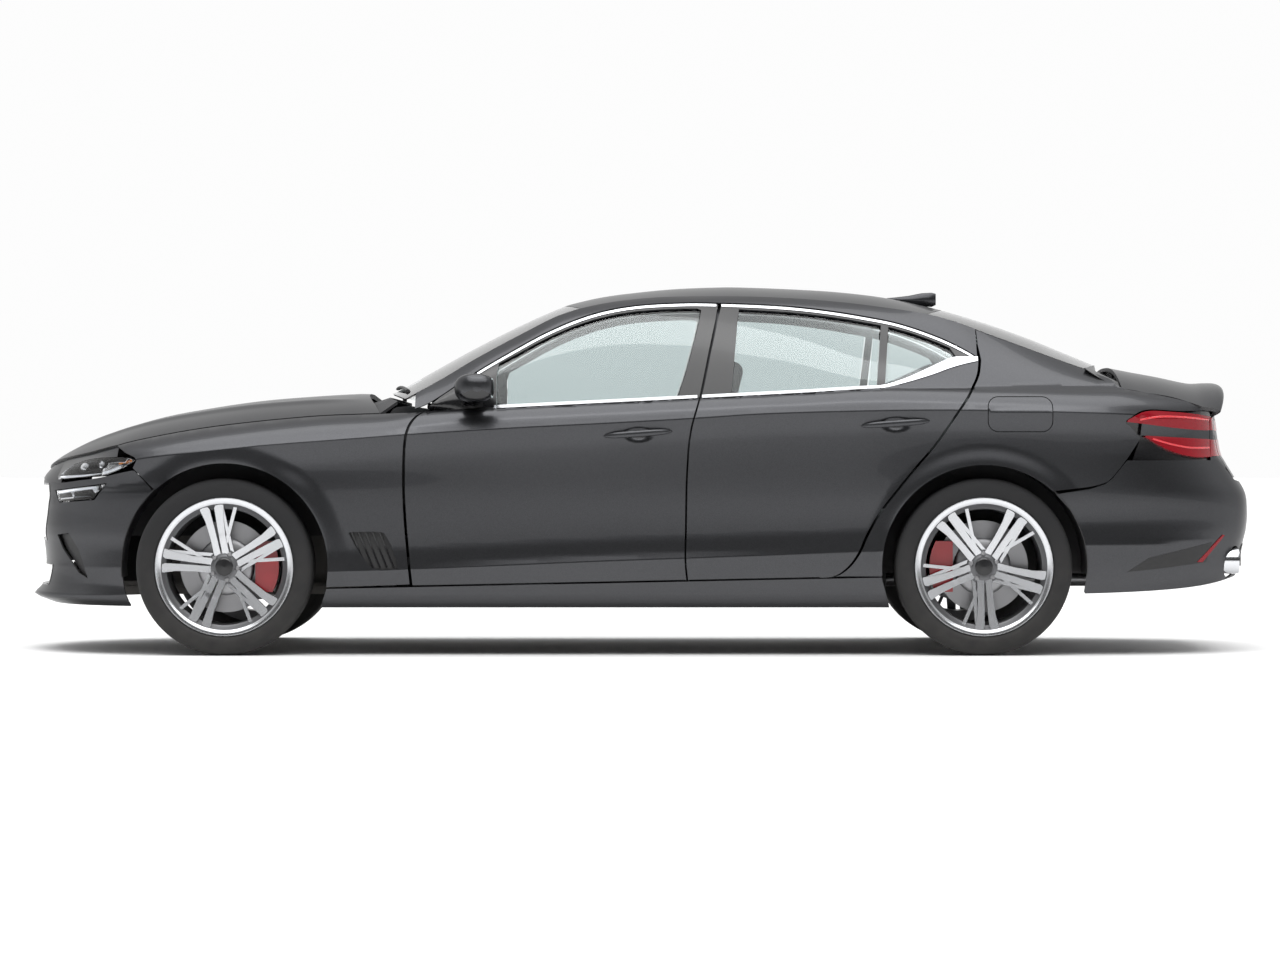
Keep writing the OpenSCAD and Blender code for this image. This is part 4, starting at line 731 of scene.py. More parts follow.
flap_hole, flap = rounded(-1430, 901, 122, 67, 40), rounded(-1430, 901, 119, 64, 37)
quarter = ([(-697, 295), (-800, 296), (-913, 296)] + arc(rear_axle, rear_arch, -4, 132, 60)
           + smooth([(-1692, 630), (-1741, 643), (-1772, 662), (-1832, 735), (-1884, 812)])
           + smooth([(-1840, 858), (-1826, 868), (-1838, 884), (-1905, 918), (-2040, 914), (-2130, 916)])
           + [(-2130, 922)] + smooth([(-2072, 950), (-1939, 979), (-1826, 1000), (-1781, 1036), (-1735, 1055)])
           + [(-1700, 1070), (-1602, 1106), (-1480, 1152), (-1375, 1189), (-1300, 1217), (-1286, 1222),
              (-1288, 1165)]
           + moved(smooth(line_c), -7.5)[::-1])
pillar = [along(lambda x: curve(top_z, x), -1820, -1260, 80)]
for tag, s, holes, swap in (("left", 1, [flap_hole], ["quarter_panels"]), ("right", -1, [], ())):
    uv, f = fill(quarter, 14, holes=holes, creases=creases + pillar)
    P, N = lifted(uv, side(), Y)
    V, faces, M, index = skin(P, f, N, 5)
    flip = np.array((1, s, 1))
    faces = faces if s > 0 else [q[::-1] for q in faces]
    add(f"quarter_{tag}", V * flip, faces, [paint, paint], "body", M * flip, index, swap)
cover("flap", flap, 14, side(), Y, 5, paint, "fuel_flap", ["fuel_flap"])
cover("filler_cup", flap_hole, 30, side(-26), Y, 3, black, "body")

# %% [markdown]
# Sills and roof sides lie just over the solid frame, which stays in view inside the door openings.
# Liners close the arches with a dark edge band like the one on the photo.
# %% Sills, roof sides and arch liners
sill = ([(-944, 178), (1182, 178)] + [(1159, 249)] + along(lambda x: sill_z(x) - gap, 1150, -910, 40)
        + [(-915, 284)])
side_panel("sill", sill, 4, paint, B, lift=side(3, lower_y), step=24)
xs = np.linspace(-1282, 832, 120)
P = np.array([np.stack([xs, mix(curve(win_y, xs), curve(edge_y, xs), f) + 24 * f * (1 - f) + 2,
                        mix(curve(win_z, xs) + gap, curve(edge_z, xs) - 1, f) + 2 * f], 1)
                        for f in np.linspace(0, 1, 8)])
pair("roof_side", *grid(P, (0, 1, 0.4)), 4, paint, B)
for tag, ax, r, a0, a1, y0 in (("front", front_axle, front_arch, 186, -6, 600),
                               ("rear", rear_axle, rear_arch, 184, -4, 640)):
    a = np.radians(np.linspace(a0, a1, 70))
    ring_x, ring_z = ax + (r + 3) * np.cos(a), axle_z + (r + 3) * np.sin(a)
    edge = half_y(ring_x, np.maximum(ring_z, 300)) - 8
    P = np.array([np.stack([ring_x, mix(y0, edge, f), ring_z], 1) for f in np.linspace(0, 1, 8)])
    pair(f"liner_{tag}", *grid(P, (0, 0, -1)), 3, black, B)

# %% [markdown]
# ## Bonnet, roof, screens and boot lid
# These span the car: a middle line and two edges with a bow between. The bonnet carries two soft raised
# folds, and the boot lid ends in a small duck tail lip over its upright rear face.
# %% Panels across the car
def span(c0, c1, e0, e1, n, m, drop):
    u, v = np.meshgrid(np.linspace(0, 1, n), np.linspace(-1, 1, m), indexing="ij")
    c, e, q = mix(c0, c1, u), mix(e0, e1, u), np.abs(v)
    return np.stack([mix(c, e, q * q), v * (curve(edge_y, e) - 0.7),
                     mix(curve(spine_z, c), curve(edge_z, e), q ** 2.2) - drop], 2)


up = (0, 0, 1)
one("roof_skin", *grid(span(-1184, 282, -1098, 212, 80, 60, 0), up), 20, [paint, paint], "body", ["roof"])
one("screen", *grid(span(285, 950, 215, 872, 50, 50, 0), up), 6, glass, "body", ["windscreen"])
one("back_light", *grid(span(-1774, -1187, -1690, -1101, 50, 50, 0), up), 6, glass, "body", ["rear_window"])
lead_x = [(0, 2290), (0.5, 2262), (0.75, 2190), (0.9, 2085), (1, 1957)]
cowl_x = [(0, 1035), (0.5, 1022), (1, 968)]
u, v = np.meshgrid(np.linspace(0, 1, 90), np.sin(np.linspace(-1, 1, 90) * math.pi / 2), indexing="ij")
q = np.abs(v)
x = mix(curve(cowl_x, q), curve(lead_x, q), u)
fold = 7 * np.exp(-((q - mix(0.62, 0.5, u)) / 0.07) ** 2) * ease(u / 0.2) * ease((1 - u) / 0.25)
P = np.stack([x, v * (curve(top_y, x) - 2), mix(curve(spine_z, x), curve(top_z, x), q ** 2.4) + fold], 2)
one("bonnet_skin", *grid(P, up), 18, [paint, trim], "bonnet", ["bonnet"])
lid_rows = [(-1824, 1085, 731, 86, 0), (-1870, 1076, 728, 84, 0), (-1917, 1067, 724, 84, 0),
            (-2010, 1050, 711, 82, 0), (-2104, 1030, 694, 88, 4), (-2150, 1024, 686, 94, 14),
            (-2198, 1026, 672, 100, 30), (-2238, 1025, 655, 104, 46), (-2256, 1014, 645, 100, 50),
            (-2252, 996, 632, 90, 50), (-2234, 970, 615, 74, 48), (-2226, 940, 595, 50, 46),
            (-2225, 900, 575, 20, 46), (-2234, 830, 560, 0, 44), (-2246, 758, 552, 0, 42),
            (-2262, 727, 550, 0, 40), (-2290, 680, 548, 0, 38), (-2300, 664, 546, 0, 38)]
rows = np.array(smooth(lid_rows, 6))


def lid(rows, vs, off=0.0):
    v = np.asarray(vs, float)[None, :]
    q = np.abs(v)
    P = np.stack([rows[:, :1] + rows[:, 4:5] * q ** 3, v * rows[:, 2:3],
                  rows[:, 1:2] - rows[:, 3:4] * q ** 2.6], 2)
    if off:
        V, f, N = grid(P, (-0.6, 0, 1))
        P = (V + N * off).reshape(P.shape)
    return P


one("lid_skin", *grid(lid(rows, np.linspace(-1, 1, 70)), (-0.6, 0, 1)), 14, [paint, trim], "boot_lid",
    ["boot_lid"])
z_of = rows[:, 1]
for tag, z0, z1 in (("upper", 893, 842), ("lower", 806, 744)):
    part = rows[(z_of < z0) & (z_of > z1) & (rows[:, 0] < -2200)]
    for s in (-1, 1):
        one(f"lid_lamp_{tag}_{s}", *grid(lid(part, s * np.linspace(0.60, 0.995, 16), 2), (-1, 0, 0.1)), 6,
            red_lens, "boot_lid")

# %% [markdown]
# A drip channel closes the space between the rear window, the pillars and the lid. It lies low in the
# middle, where the lid's front edge moves forward as it opens, and comes up level at both sides.
# %% Drip channel
v = np.linspace(-1, 1, 61)
q = np.abs(v)
foot = mix(-1774, -1690, q * q)
A = np.stack([foot - 2, v * (curve(edge_y, -1690 + 0 * q) + 40 * q ** 6),
              mix(curve(spine_z, -1774 + 0 * v), curve(edge_z, -1690 + 0 * v), q ** 2.2)], 1)
E = np.stack([-1818 + 0 * v, v * 742, 1085 - 86 * q ** 2.6], 1)
low = (60 * (1 - ease((q - 0.55) / 0.3)) + 5)[:, None] * np.array((0, 0, 1))
P = np.array([A - low * (1 - (1 - f) ** 4) + (E - A) * f for f in np.linspace(0, 1, 12)])
one("drip_channel", *grid(P, up), 3, paint, "body")

# %% [markdown]
# ## Bumpers
# Nose and tail wrap round the car, so their flat plan is the length along the surface against height.
# Openings drawn in front view or side view are carried over to that plan before the cut.
# %% Wrapped surfaces
def nose_at(w, z):
    x = nose_start + (curve(nose_x, z) - nose_start) * np.maximum(0, 1 - w * w) ** (1 / 3.6)
    return x, lower_y(x, z) * w, z


def tail_at(w, z):
    x = tail_start + (curve(tail_x, z) - tail_start) * np.sqrt(np.maximum(0, 1 - np.abs(w) ** 5))
    return x, lower_y(x, z) * w, z


ws = np.sin(np.linspace(0, 1, 800) * math.pi / 2)


def lengths(f):
    x, y, _ = f(ws, 0 * ws + 470.0)
    return np.concatenate([[0], np.cumsum(np.hypot(np.diff(x), np.diff(y)))])


nose_len, tail_len = lengths(nose_at), lengths(tail_at)


def wrap(f, table, off=0.0):
    def go(u, z):
        w = np.sign(u) * np.interp(np.abs(u), table, ws)
        x, y, zz = f(w, z)
        if off:
            e = 0.004
            a, b = f(w - e, z), f(w + e, z)
            n = np.stack([b[1] - a[1], a[0] - b[0]], 0)
            n = n / (np.linalg.norm(n, axis=0) + 1e-9)
            s = off if f is nose_at else -off
            x, y = x + n[0] * s, y + n[1] * s
        return x, y, zz
    return go


def by_x(p, table):
    return [(float(np.interp(plan(np.float64(a), np.float64(b)), ws, table)), b) for a, b in p]


def circle(y, z, r, n):
    return [(y + r * math.cos(a), z + r * math.sin(a)) for a in np.linspace(0, 2 * math.pi, n)[:-1]]


def by_y(p, f, table):
    out = []
    for y, z in p:
        yy = f(ws, 0 * ws + z)[1]
        out.append((math.copysign(float(np.interp(abs(y), yy, table)), y), z))
    return out


def both_u(p):
    return [[(-a, b) for a, b in p][::-1], p]


# %% [markdown]
# The front bumper has an upper grille, a lower intake, slim corner intakes and room for the lower lamp
# bars. The rear bumper has a dark diffuser with fins and round cut-outs for the tail pipes.
# %% Front bumper
nose_side = [(181, 1900), (250, 1922), (331, 1932), (450, 1912), (540, 1872), (614, 1808), (660, 1852),
             (704, 1896)]
nose_top = [(0, 664), (0.3, 656), (0.5, 644), (0.62, 643), (0.72, 650), (0.84, 664), (0.94, 696)]
edge = by_x([(x, z) for z, x in dense(nose_side, 12)], nose_len)
edge = [e for e in edge if e[1] < 694]
w_end = float(np.interp(edge[-1][0], nose_len, ws))
top = [(float(np.interp(w, ws, nose_len)), float(curve(nose_top, w)))
       for w in np.linspace(w_end - 0.006, 0, 50)]
half = edge + top
outline = half + [(-a, b) for a, b in half[::-1]]
grille_hole = by_y(dense([(-390, 640), (390, 640), (410, 600), (330, 420), (-330, 420), (-410, 600)], 20,
                         True), nose_at, nose_len)
lower_hole = by_y(dense([(-420, 330), (420, 330), (380, 250), (-380, 250)], 20, True), nose_at, nose_len)
corner = by_x(dense([(2205, 445), (2152, 453), (2107, 389), (2069, 283), (2107, 302), (2183, 396)], 12, True),
              nose_len)
low_lamp = by_x(dense([(1990, 643), (2217, 614), (2198, 567), (2040, 579)], 12, True), nose_len)
tow = by_y(circle(-500, 490, 28, 20), nose_at, nose_len)
holes = [grille_hole, lower_hole] + both_u(corner) + both_u(low_lamp)
cover("nose_skin", outline, 15, wrap(nose_at, nose_len), X, 6, [paint, black], "body", ["front_bumper"],
      holes=holes, creases=[[(-1500, 332), (1500, 332)]])
cover("tow_cap_front", tow, 15, wrap(nose_at, nose_len, 0.5), X, 4, paint, "body")
for tag, hole in (("grille", grille_hole), ("lower", lower_hole)):
    inner = [(a * 0.97, mix(np.mean([p[1] for p in hole]), b, 0.93)) for a, b in hole]
    cover(f"surround_{tag}", hole, 14, wrap(nose_at, nose_len, 1.5), X, 12, gloss, "body", holes=[inner])
for s, p in zip((-1, 1), both_u(corner)):
    cover(f"corner_mesh_{s}", p, 14, wrap(nose_at, nose_len, -16), X, 3, black, "body")

# %% [markdown]
# A slam panel bridges from the bumper up to the bonnet's leading edge, a few millimetres below it.
# %% Slam panel
v = np.linspace(-1, 1, 81)
q = 0.80 * np.abs(v)
bx = curve(lead_x, q)
A = np.stack([bx - 6, np.sign(v) * q * (curve(top_y, bx) - 2),
              mix(curve(spine_z, bx), curve(top_z, bx), q ** 2.4) - 7], 1)
w = v * 0.60
E = np.stack(nose_at(w, curve(nose_top, np.abs(w)) - 1), 1)
bow = np.array((1, 0, 0.4))
P = np.array([A + (E - A) * f + bow * (12 * f * (1 - f)) for f in np.linspace(0, 1, 10)])
one("slam_panel", *grid(P, (1, 0, 0.5)), 4, paint, "body")

# %% [markdown]
# The mesh of the grille is a lattice of slanted bars that follow the nose, set back in the opening.
# %% Grille lattice
lattice = wrap(nose_at, nose_len, -22)
V, faces = [], []
for k in range(-46, 47):
    for lean in (-0.6, 0.6):
        pts = [(k * 24 + lean * (z - 440), z) for z in np.linspace(250, 645, 60)]
        keep = inside(grille_hole, pts) | inside(lower_hole, pts)
        Q = np.stack(lattice(*np.array(pts).T), 1)
        for c, d, k0, k1 in zip(Q, Q[1:], keep, keep[1:]):
            if k0 and k1:
                n = len(V)
                V += [c + (0, -2, 0), c + (0, 2, 0), d + (0, 2, 0), d + (0, -2, 0), c + (-5, 0, 0),
                      d + (-5, 0, 0)]
                faces += [[n, n + 1, n + 2, n + 3], [n, n + 3, n + 5, n + 4], [n + 1, n + 4, n + 5, n + 2]]
add("grille_mesh", np.array(V), faces, gloss, "body")
print("lattice faces", len(faces))

# %% Rear bumper
tail_side = [(226, -1668), (331, -1682), (450, -1663), (540, -1619), (602, -1563), (622, -1694), (640, -1748),
             (660, -1775), (730, -1834)]
tail_low = [(0, 290), (0.6, 284), (0.85, 250), (1, 230)]
tail_high = [(0, 654), (0.62, 654), (0.68, 720), (0.76, 728), (1, 728)]
edge = [e for e in by_x([(x, z) for z, x in dense(tail_side, 12)], tail_len) if 234 < e[1] < 726]
top = [(u, float(curve(tail_high, np.interp(u, tail_len, ws)))) for u in np.linspace(edge[-1][0] - 10, 0, 90)]
bottom = [(u, float(curve(tail_low, np.interp(u, tail_len, ws)))) for u in np.linspace(0, edge[0][0] - 6, 60)]
half = bottom + edge + top
outline = half + [(-a, b) for a, b in half[::-1]]
pipe_y = 600
pipe = by_y(circle(pipe_y, 345, 60, 40), tail_at, tail_len)
crease = [(-1700, 590), (1700, 590)]
cover("tail_skin", outline, 15, wrap(tail_at, tail_len), BACK, 6, [paint, black], "body", ["rear_bumper"],
      holes=both_u(pipe), creases=[crease])
dark = by_y([(-640, 292), (-500, 410), (500, 410), (640, 292)], tail_at, tail_len)
dark_low = [(u, float(curve(tail_low, np.interp(abs(u), tail_len, ws))) + 1)
            for u in np.linspace(dark[3][0], dark[0][0], 40)]
cover("diffuser", dark[:3] + dark_low[1:-1], 18, wrap(tail_at, tail_len, 2), BACK, 3, black, "body",
      holes=both_u(pipe))
mesh_rear = by_x(dense([(-1833, 312), (-1916, 364), (-2162, 420), (-2140, 346), (-1953, 323)], 14, True),
                 tail_len)
red_bar = by_x(dense([(-2102, 346), (-2124, 346), (-2214, 446), (-2206, 448)], 14, True), tail_len)
for tag, shape, mat, off in (("mesh", mesh_rear, black, 1.5), ("reflector", red_bar, red_lens, 3)):
    for s, p in zip((-1, 1), both_u(shape)):
        cover(f"tail_{tag}_{s}", p, 14, wrap(tail_at, tail_len, off), BACK, 4, mat, "body")
for y in (-330, -165, 0, 165, 330):
    fin = [ring((x, y, 330 + 26 * f), Y, Z, 5, mix(14, 34, f), 8, 5)
           for f, x in ((0, -2130), (0.5, -2230), (1, -2318))]
    loft(f"diffuser_fin_{y}", fin, black, "body")

# %% [markdown]
# ## Lamps
# Each lamp is a clear cover over a dark housing. The head lamps hold a bright guide strip along the lower
# edge, two projector eyes and an amber tip; the tail lamps are red with brighter strips.
# %% Head lamps
head = smooth([(1878, 727), (1930, 699), (1984, 677), (2060, 666), (2135, 660), (2204, 655)], 5)
head += smooth([(2200, 664), (2160, 695), (2100, 723), (2030, 736), (1960, 740), (1900, 737), (1878, 727)],
               5)[:-1]
side_panel("head_cover", head, 3, lens, B, (["headlamps"], []), step=18)
side_panel("head_housing", head, 4, gloss, B, lift=side(-24), step=18)
bar_low = [(1997, 638), (2100, 627), (2212, 611), (2195, 571), (2046, 583)]
side_panel("low_cover", bar_low, 3, lens, B, step=18)
side_panel("low_housing", bar_low, 4, gloss, B, lift=side(-18), step=18)


def strip(name, points, r, mat, bodies, off, base=half_y):
    for s, body in zip((1, -1), bodies):
        c = [np.array((x, s * (float(base(x, z)) + off), z)) for x, z in smooth(points, 6)]
        rings = []
        for i, p in enumerate(c):
            t = c[min(i + 1, len(c) - 1)] - c[max(i - 1, 0)]
            t = t / np.linalg.norm(t)
            a = np.cross(t, (0, 0, 1))
            a = a / np.linalg.norm(a)
            rings.append(ring(p, a, np.cross(a, t), r, r, 10))
        loft(f"{name}_{s}", rings, mat, body)


strip("guide", [(1935, 704), (1990, 684), (2060, 673), (2135, 667), (2186, 664)], 5, white, B, -10)
strip("guide_top", [(1960, 730), (2030, 727), (2096, 714), (2150, 691)], 2.5, chrome, B, -12)
strip("tip", [(1892, 728), (1912, 722), (1940, 716)], 4.5, amber, B, -10)
strip("low_guide", [(2030, 627), (2110, 618), (2196, 606)], 6, white, B, -9)
strip("low_bar", [(2056, 592), (2120, 587), (2186, 581)], 4, chrome, B, -9)
for s in (1, -1):
    for px, pz in ((2010, 706), (2080, 698)):
        y = float(half_y(px, pz))
        d = np.array((0.5, 0.85 * s, 0.1))
        a = np.cross(d, (0, 0, 1))
        a = a / np.linalg.norm(a)
        c = np.array((px, s * (y - 22), pz))
        eye = [ring(c + d * k, a, np.cross(a, d), r, r, 24)
               for k, r in ((-6, 20), (6, 20), (8, 16), (12, 10), (14, 3))]
        loft(f"projector_{px}_{s}", eye, chrome, "body")

# %% [markdown]
# A painted brow joins the bonnet's edge to the top of each head lamp.
# %% Lamp brows
q = np.linspace(0.74, 1, 30)
bx = curve(lead_x, q)
A = np.stack([bx - 4, q * (curve(top_y, bx) - 2), mix(curve(spine_z, bx), curve(top_z, bx), q ** 2.4) - 6], 1)
lamp_top = [(1950, 741), (1960, 741), (2030, 737), (2100, 724), (2160, 696), (2200, 665), (2206, 662)]
ex = np.linspace(2206, 1950, 30)
ez = curve(lamp_top, ex)
E = np.stack([ex, half_y(ex, ez) - 2, ez], 1)
P = np.array([mix(A, E, f) for f in np.linspace(0, 1, 6)])
pair("lamp_brow", *grid(P, (0.6, 0.6, 0.6)), 3, paint, B)

# %% Tail lamps
tail_up = (smooth([(-2168, 841), (-2100, 843), (-2000, 852), (-1889, 866), (-1832, 872)], 5)
           + smooth([(-1836, 880), (-1905, 912), (-2000, 911), (-2100, 903), (-2168, 893)], 5))
tail_down = (smooth([(-2168, 742), (-2096, 742), (-2002, 764), (-1902, 816)], 5)
             + smooth([(-1906, 821), (-2000, 816), (-2100, 811), (-2168, 808)], 5))
side_panel("tail_up", tail_up, 18, red_lens, B, (["tail_lamps"], []), step=18)
side_panel("tail_down", tail_down, 18, red_lens, B, step=18)
tail_house = [(-1812, 868), (-1905, 924), (-2160, 912), (-2190, 880), (-2190, 700), (-1850, 716), (-1880, 800)]
side_panel("tail_housing", tail_house, 4, gloss, B, lift=side(-20), step=24)
gap_panel = [(-2168, 806), (-2168, 843), (-2000, 854), (-1889, 868), (-1884, 822), (-2000, 814)]
side_panel("tail_between", gap_panel, 4, paint, B, lift=side(-3), step=18)
lid_edge = np.array([(r[0] + r[4], r[2], r[1] - r[3]) for r in rows if r[1] < 945])
lid_edge = lid_edge[np.argsort(lid_edge[:, 2])]
for tag, z0, z1, mat, off in (("a", 700, 744, paint, 0), ("b", 744, 806, red_lens, 2),
                              ("c", 806, 842, paint, 0), ("d", 842, 889, red_lens, 2)):
    zz = np.linspace(z0, z1, 8)
    A = np.stack([np.interp(zz, lid_edge[:, 2], lid_edge[:, 0]) + 2,
                  np.interp(zz, lid_edge[:, 2], lid_edge[:, 1]) + 7, zz], 1)
    E = np.stack([-2166 + 0 * zz, half_y(-2166 + 0 * zz, zz) - 1, zz], 1)
    bow = np.array((-0.7, 0.7, 0))
    P = np.array([A + (E - A) * f + bow * (26 * f * (1 - f) + off) for f in np.linspace(0, 1, 10)])
    pair(f"tail_corner_{tag}", *grid(P, (-0.7, 0.7, 0)), 4, mat, B)
strip("tail_line", [(-2160, 882), (-2060, 890), (-1960, 892), (-1880, 880)], 4, red_glow, B, -1)
strip("tail_line_low", [(-2160, 776), (-2080, 776), (-2000, 790), (-1930, 810)], 4, red_glow, B, -1)

# %% [markdown]
# ## Wheels
# Tyre and rim are turned shapes. The face has five twin spokes, and beside each a thin crossed pair that
# leans one way, so the wheel reads as turning. The cut faces are bright and the flanks grey.
# %% Turned shapes
def lathe(profile, n):
    p = np.array(profile, float)
    a = np.arange(n) * 2 * math.pi / n
    V = np.stack([np.outer(np.cos(a), p[:, 0]), np.outer(np.sin(a), p[:, 0]), np.outer(np.ones(n), p[:, 1])], 2)
    m = len(p)
    faces = [[i * m + j, i * m + (j + 1) % m, ((i + 1) % n) * m + (j + 1) % m, ((i + 1) % n) * m + j]
             for i in range(n) for j in range(m)]
    return V.reshape(-1, 3), faces


def turned(p):
    area = sum(a[0] * b[1] - b[0] * a[1] for a, b in zip(p, p[1:] + p[:1]))
    return p if area > 0 else p[::-1]


def on_wheel(V, ax, wy, s):
    V = np.asarray(V, float)
    return np.stack([V[:, 0] + ax, s * (V[:, 2] + wy), axle_z - V[:, 1]], 1)


def wheel_piece(name, V, faces, mats, spot, swap=(), index=None, angle=32):
    ax, wy, s, body = spot
    W = on_wheel(V, ax, wy, s)
    if s < 0:
        faces = [list(f)[::-1] for f in faces]
    return add(name + "_" + body, W, faces, mats, body, swap=swap, index=index, angle=angle)


bead_r, spoke_r = 229.6, 232


def tyre_profile(w):
    h, r = w / 2, 331
    out = [(bead_r, h - 24), (259.6, h - 17), (262, h - 8), (268, h - 3), (278, h - 0.5), (288, h),
           (300, h - 1.2), (310, h - 4), (319, h - 9), (325, h - 15), (329, h - 24), (330.2, h - 32)]
    tread = []
    for c in (0.58, 0.2, -0.2, -0.58):
        z = c * (h - 20)
        tread += [(r, z + 5), (r - 7, z + 4), (r - 7, z - 4), (r, z - 5)]
    back = [(a, -b) for a, b in out[::-1]]
    return out + tread + back + [(bead_r, -h + 44), (284, -h + 14), (r - 14, -h + 34), (r - 14, h - 34),
                                 (284, h - 14), (bead_r, h - 44)]


def spoke_plate(poly, drop, t):
    uv, f = fill(poly, 16)
    lift = lambda x, y: (x, y, 0 * x - drop - 10 * (1 - np.hypot(x, y) / spoke_r))
    P, N = lifted(uv, lift, (0, 0, 1))
    return skin(P, f, N, t)


def swing(V, deg):
    c, s = math.cos(math.radians(deg)), math.sin(math.radians(deg))
    return np.stack([V[:, 0] * c - V[:, 1] * s, V[:, 0] * s + V[:, 1] * c, V[:, 2]], 1)


def polar(r, deg, w, a):
    return (r * math.cos(math.radians(deg)) + w * math.cos(math.radians(a)),
            r * math.sin(math.radians(deg)) + w * math.sin(math.radians(a)))


def thin(r0, a0, r1, a1, w0, w1):
    p, q = polar(r0, a0, 0, 0), polar(r1, a1, 0, 0)
    d = math.degrees(math.atan2(q[1] - p[1], q[0] - p[0]))
    return [polar(r0, a0, w0, d - 90), polar(r1, a1, w1, d - 90), polar(r1, a1, w1, d + 90),
            polar(r0, a0, w0, d + 90)]


# %% [markdown]
# One loop builds the four wheels. The rims stand turned as in the photo. Lug nuts, a bare centre cap and
# a ventilated disc with its bell finish each wheel.
# %% Wheels
spokes, spoke_step = 5, 72
twin = [(44, 3), (96, 4), (160, 6), (222, 9), (231, 14), (232, 40), (226, 45), (180, 34), (110, 28), (40, 28)]
cross = [thin(52, -8, 231, -22.5, 6, 6.5), thin(52, -52, 231, -9, 6, 6.5)]
other_twin = [(a, -b) for a, b in twin[::-1]]
plates = [spoke_plate(shape, drop, t) for shape, drop, t in
          ((twin, 12, 30), (other_twin, 12, 30), (cross[0], 19, 20), (cross[1], 21, 20))]
for end, ax, wy, w, turn in (("front", front_axle, 793, 228, 282), ("rear", rear_axle, 784, 256, 309)):
    h = w / 2 - 6
    for s, tag in ((1, "left"), (-1, "right")):
        body = f"wheel_{end}_{tag}"
        spot = (ax, wy, s, body)
        wheel_piece("tyre", *lathe(turned(tyre_profile(w)), 144), rubber, spot, [f"tyre_{end}_{tag}"])
        barrel = [(214, -h), (259, -h), (259, -h + 10), (229, -h + 17), (229, h - 17), (259, h - 10),
                  (259.4, h - 2), (257, h), (251, h), (243, h - 3), (236, h - 8), (230, h - 16),
                  (218, h - 26), (214, h - 60)]
        V, f = lathe(turned(barrel), 128)
        bright = [1 if max(V[q][2] for q in face) > h - 9
                  and min(np.hypot(V[q][0], V[q][1]) for q in face) > spoke_r else 0 for face in f]
        wheel_piece("barrel", V, f, [pocket, alloy], spot, [f"rim_{end}_{tag}"], index=bright)
        allV, allF, allI, n = [], [], [], 0
        for i in range(spokes):
            for V, f, _, index in plates:
                V = swing(V, turn + spoke_step * i) + (0, 0, h)
                allV.append(V)
                allF += [[q + n for q in face] for face in f]
                allI += index
                n += len(V)
        wheel_piece("spokes", np.concatenate(allV), allF, [alloy, pocket], spot, index=allI, angle=25)
        hub = [(0, h - 50), (64, h - 50), (66, h - 30), (62, h - 21), (44, h - 19), (40, h - 16), (0, h - 16)]
        wheel_piece("hub", *lathe(turned(hub), 64), pocket, spot)
        cap = [(0, h - 16), (33, h - 16), (33, h - 11), (29, h - 8), (0, h - 7)]
        wheel_piece("cap", *lathe(turned(cap), 48), gloss, spot)
        for i in range(spokes):
            V, f = lathe(turned([(0, h - 34), (10, h - 34), (10, h - 16), (7, h - 13), (0, h - 13)]), 6)
            deg = turn + spoke_step * (i + 0.5)
            wheel_piece(f"nut_{i}", swing(V + (50, 0, 0), deg), f, steel, spot)
        disc = [(40, -26), (172, -26), (172, -16), (168, -15), (168, -9), (172, -8), (172, 2), (108, 2),
                (104, 14), (92, 22), (40, 24)]
        wheel_piece("disc", *lathe(turned(disc), 96), steel, spot)
print("wheels done")

# %% [markdown]
# ## Cabin
# Two front seats and a rear bench in dark leather, each built from padded blocks with soft edges. The
# dashboard and steering wheel keep their solid form and take a grained trim.
# %% Seats
box_faces = [[0, 1, 3, 2], [4, 6, 7, 5], [0, 4, 5, 1], [2, 3, 7, 6], [0, 2, 6, 4], [1, 5, 7, 3]]


def pad(name, c, size, tilt, mat, body, swap=(), r=0.05):
    me = bpy.data.meshes.new(name)
    s = np.array(size) / 2
    v = np.array([(a, b, d) for a in (-1, 1) for b in (-1, 1) for d in (-1, 1)]) * s
    ca, sa = math.cos(math.radians(tilt)), math.sin(math.radians(tilt))
    v = np.stack([v[:, 0] * ca + v[:, 2] * sa, v[:, 1], -v[:, 0] * sa + v[:, 2] * ca], 1) + np.array(c)
    me.from_pydata((v * MM).tolist(), [], box_faces)
    me.shade_smooth()
    me.materials.append(mat)
    o = bpy.data.objects.new(name, me)
    bpy.context.scene.collection.objects.link(o)
    b = o.modifiers.new("soft edge", "BEVEL")
    b.width, b.segments, b.limit_method = r, 5, "NONE"
    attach(o, body)
    if swap:
        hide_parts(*swap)
    return o


seat_y = 422
for s in (1, -1):
    y = seat_y * s
    pad(f"cushion_{s}", (90, y, 400), (470, 300, 120), -5, hide, "body", ["seats"] if s > 0 else ())
    for k in (1, -1):
        pad(f"thigh_bolster_{s}_{k}", (90, y + 190 * k, 412), (460, 90, 150), -5, hide, "body", r=0.04)
        pad(f"back_bolster_{s}_{k}", (-215, y + 185 * k, 690), (120, 100, 480), -19, hide, "body", r=0.045)
    pad(f"back_{s}", (-235, y, 690), (100, 300, 560), -19, hide, "body")
    pad(f"head_rest_{s}", (-352, y, 1020), (80, 270, 170), -14, hide, "body", r=0.038)
    pad(f"seat_base_{s}", (40, y, 270), (480, 400, 120), 0, trim, "body", r=0.02)
pad("bench", (-950, 0, 490), (420, 1060, 90), -6, hide, "body", r=0.04)
pad("bench_back", (-1215, 0, 730), (110, 1060, 480), -16, hide, "body", r=0.045)

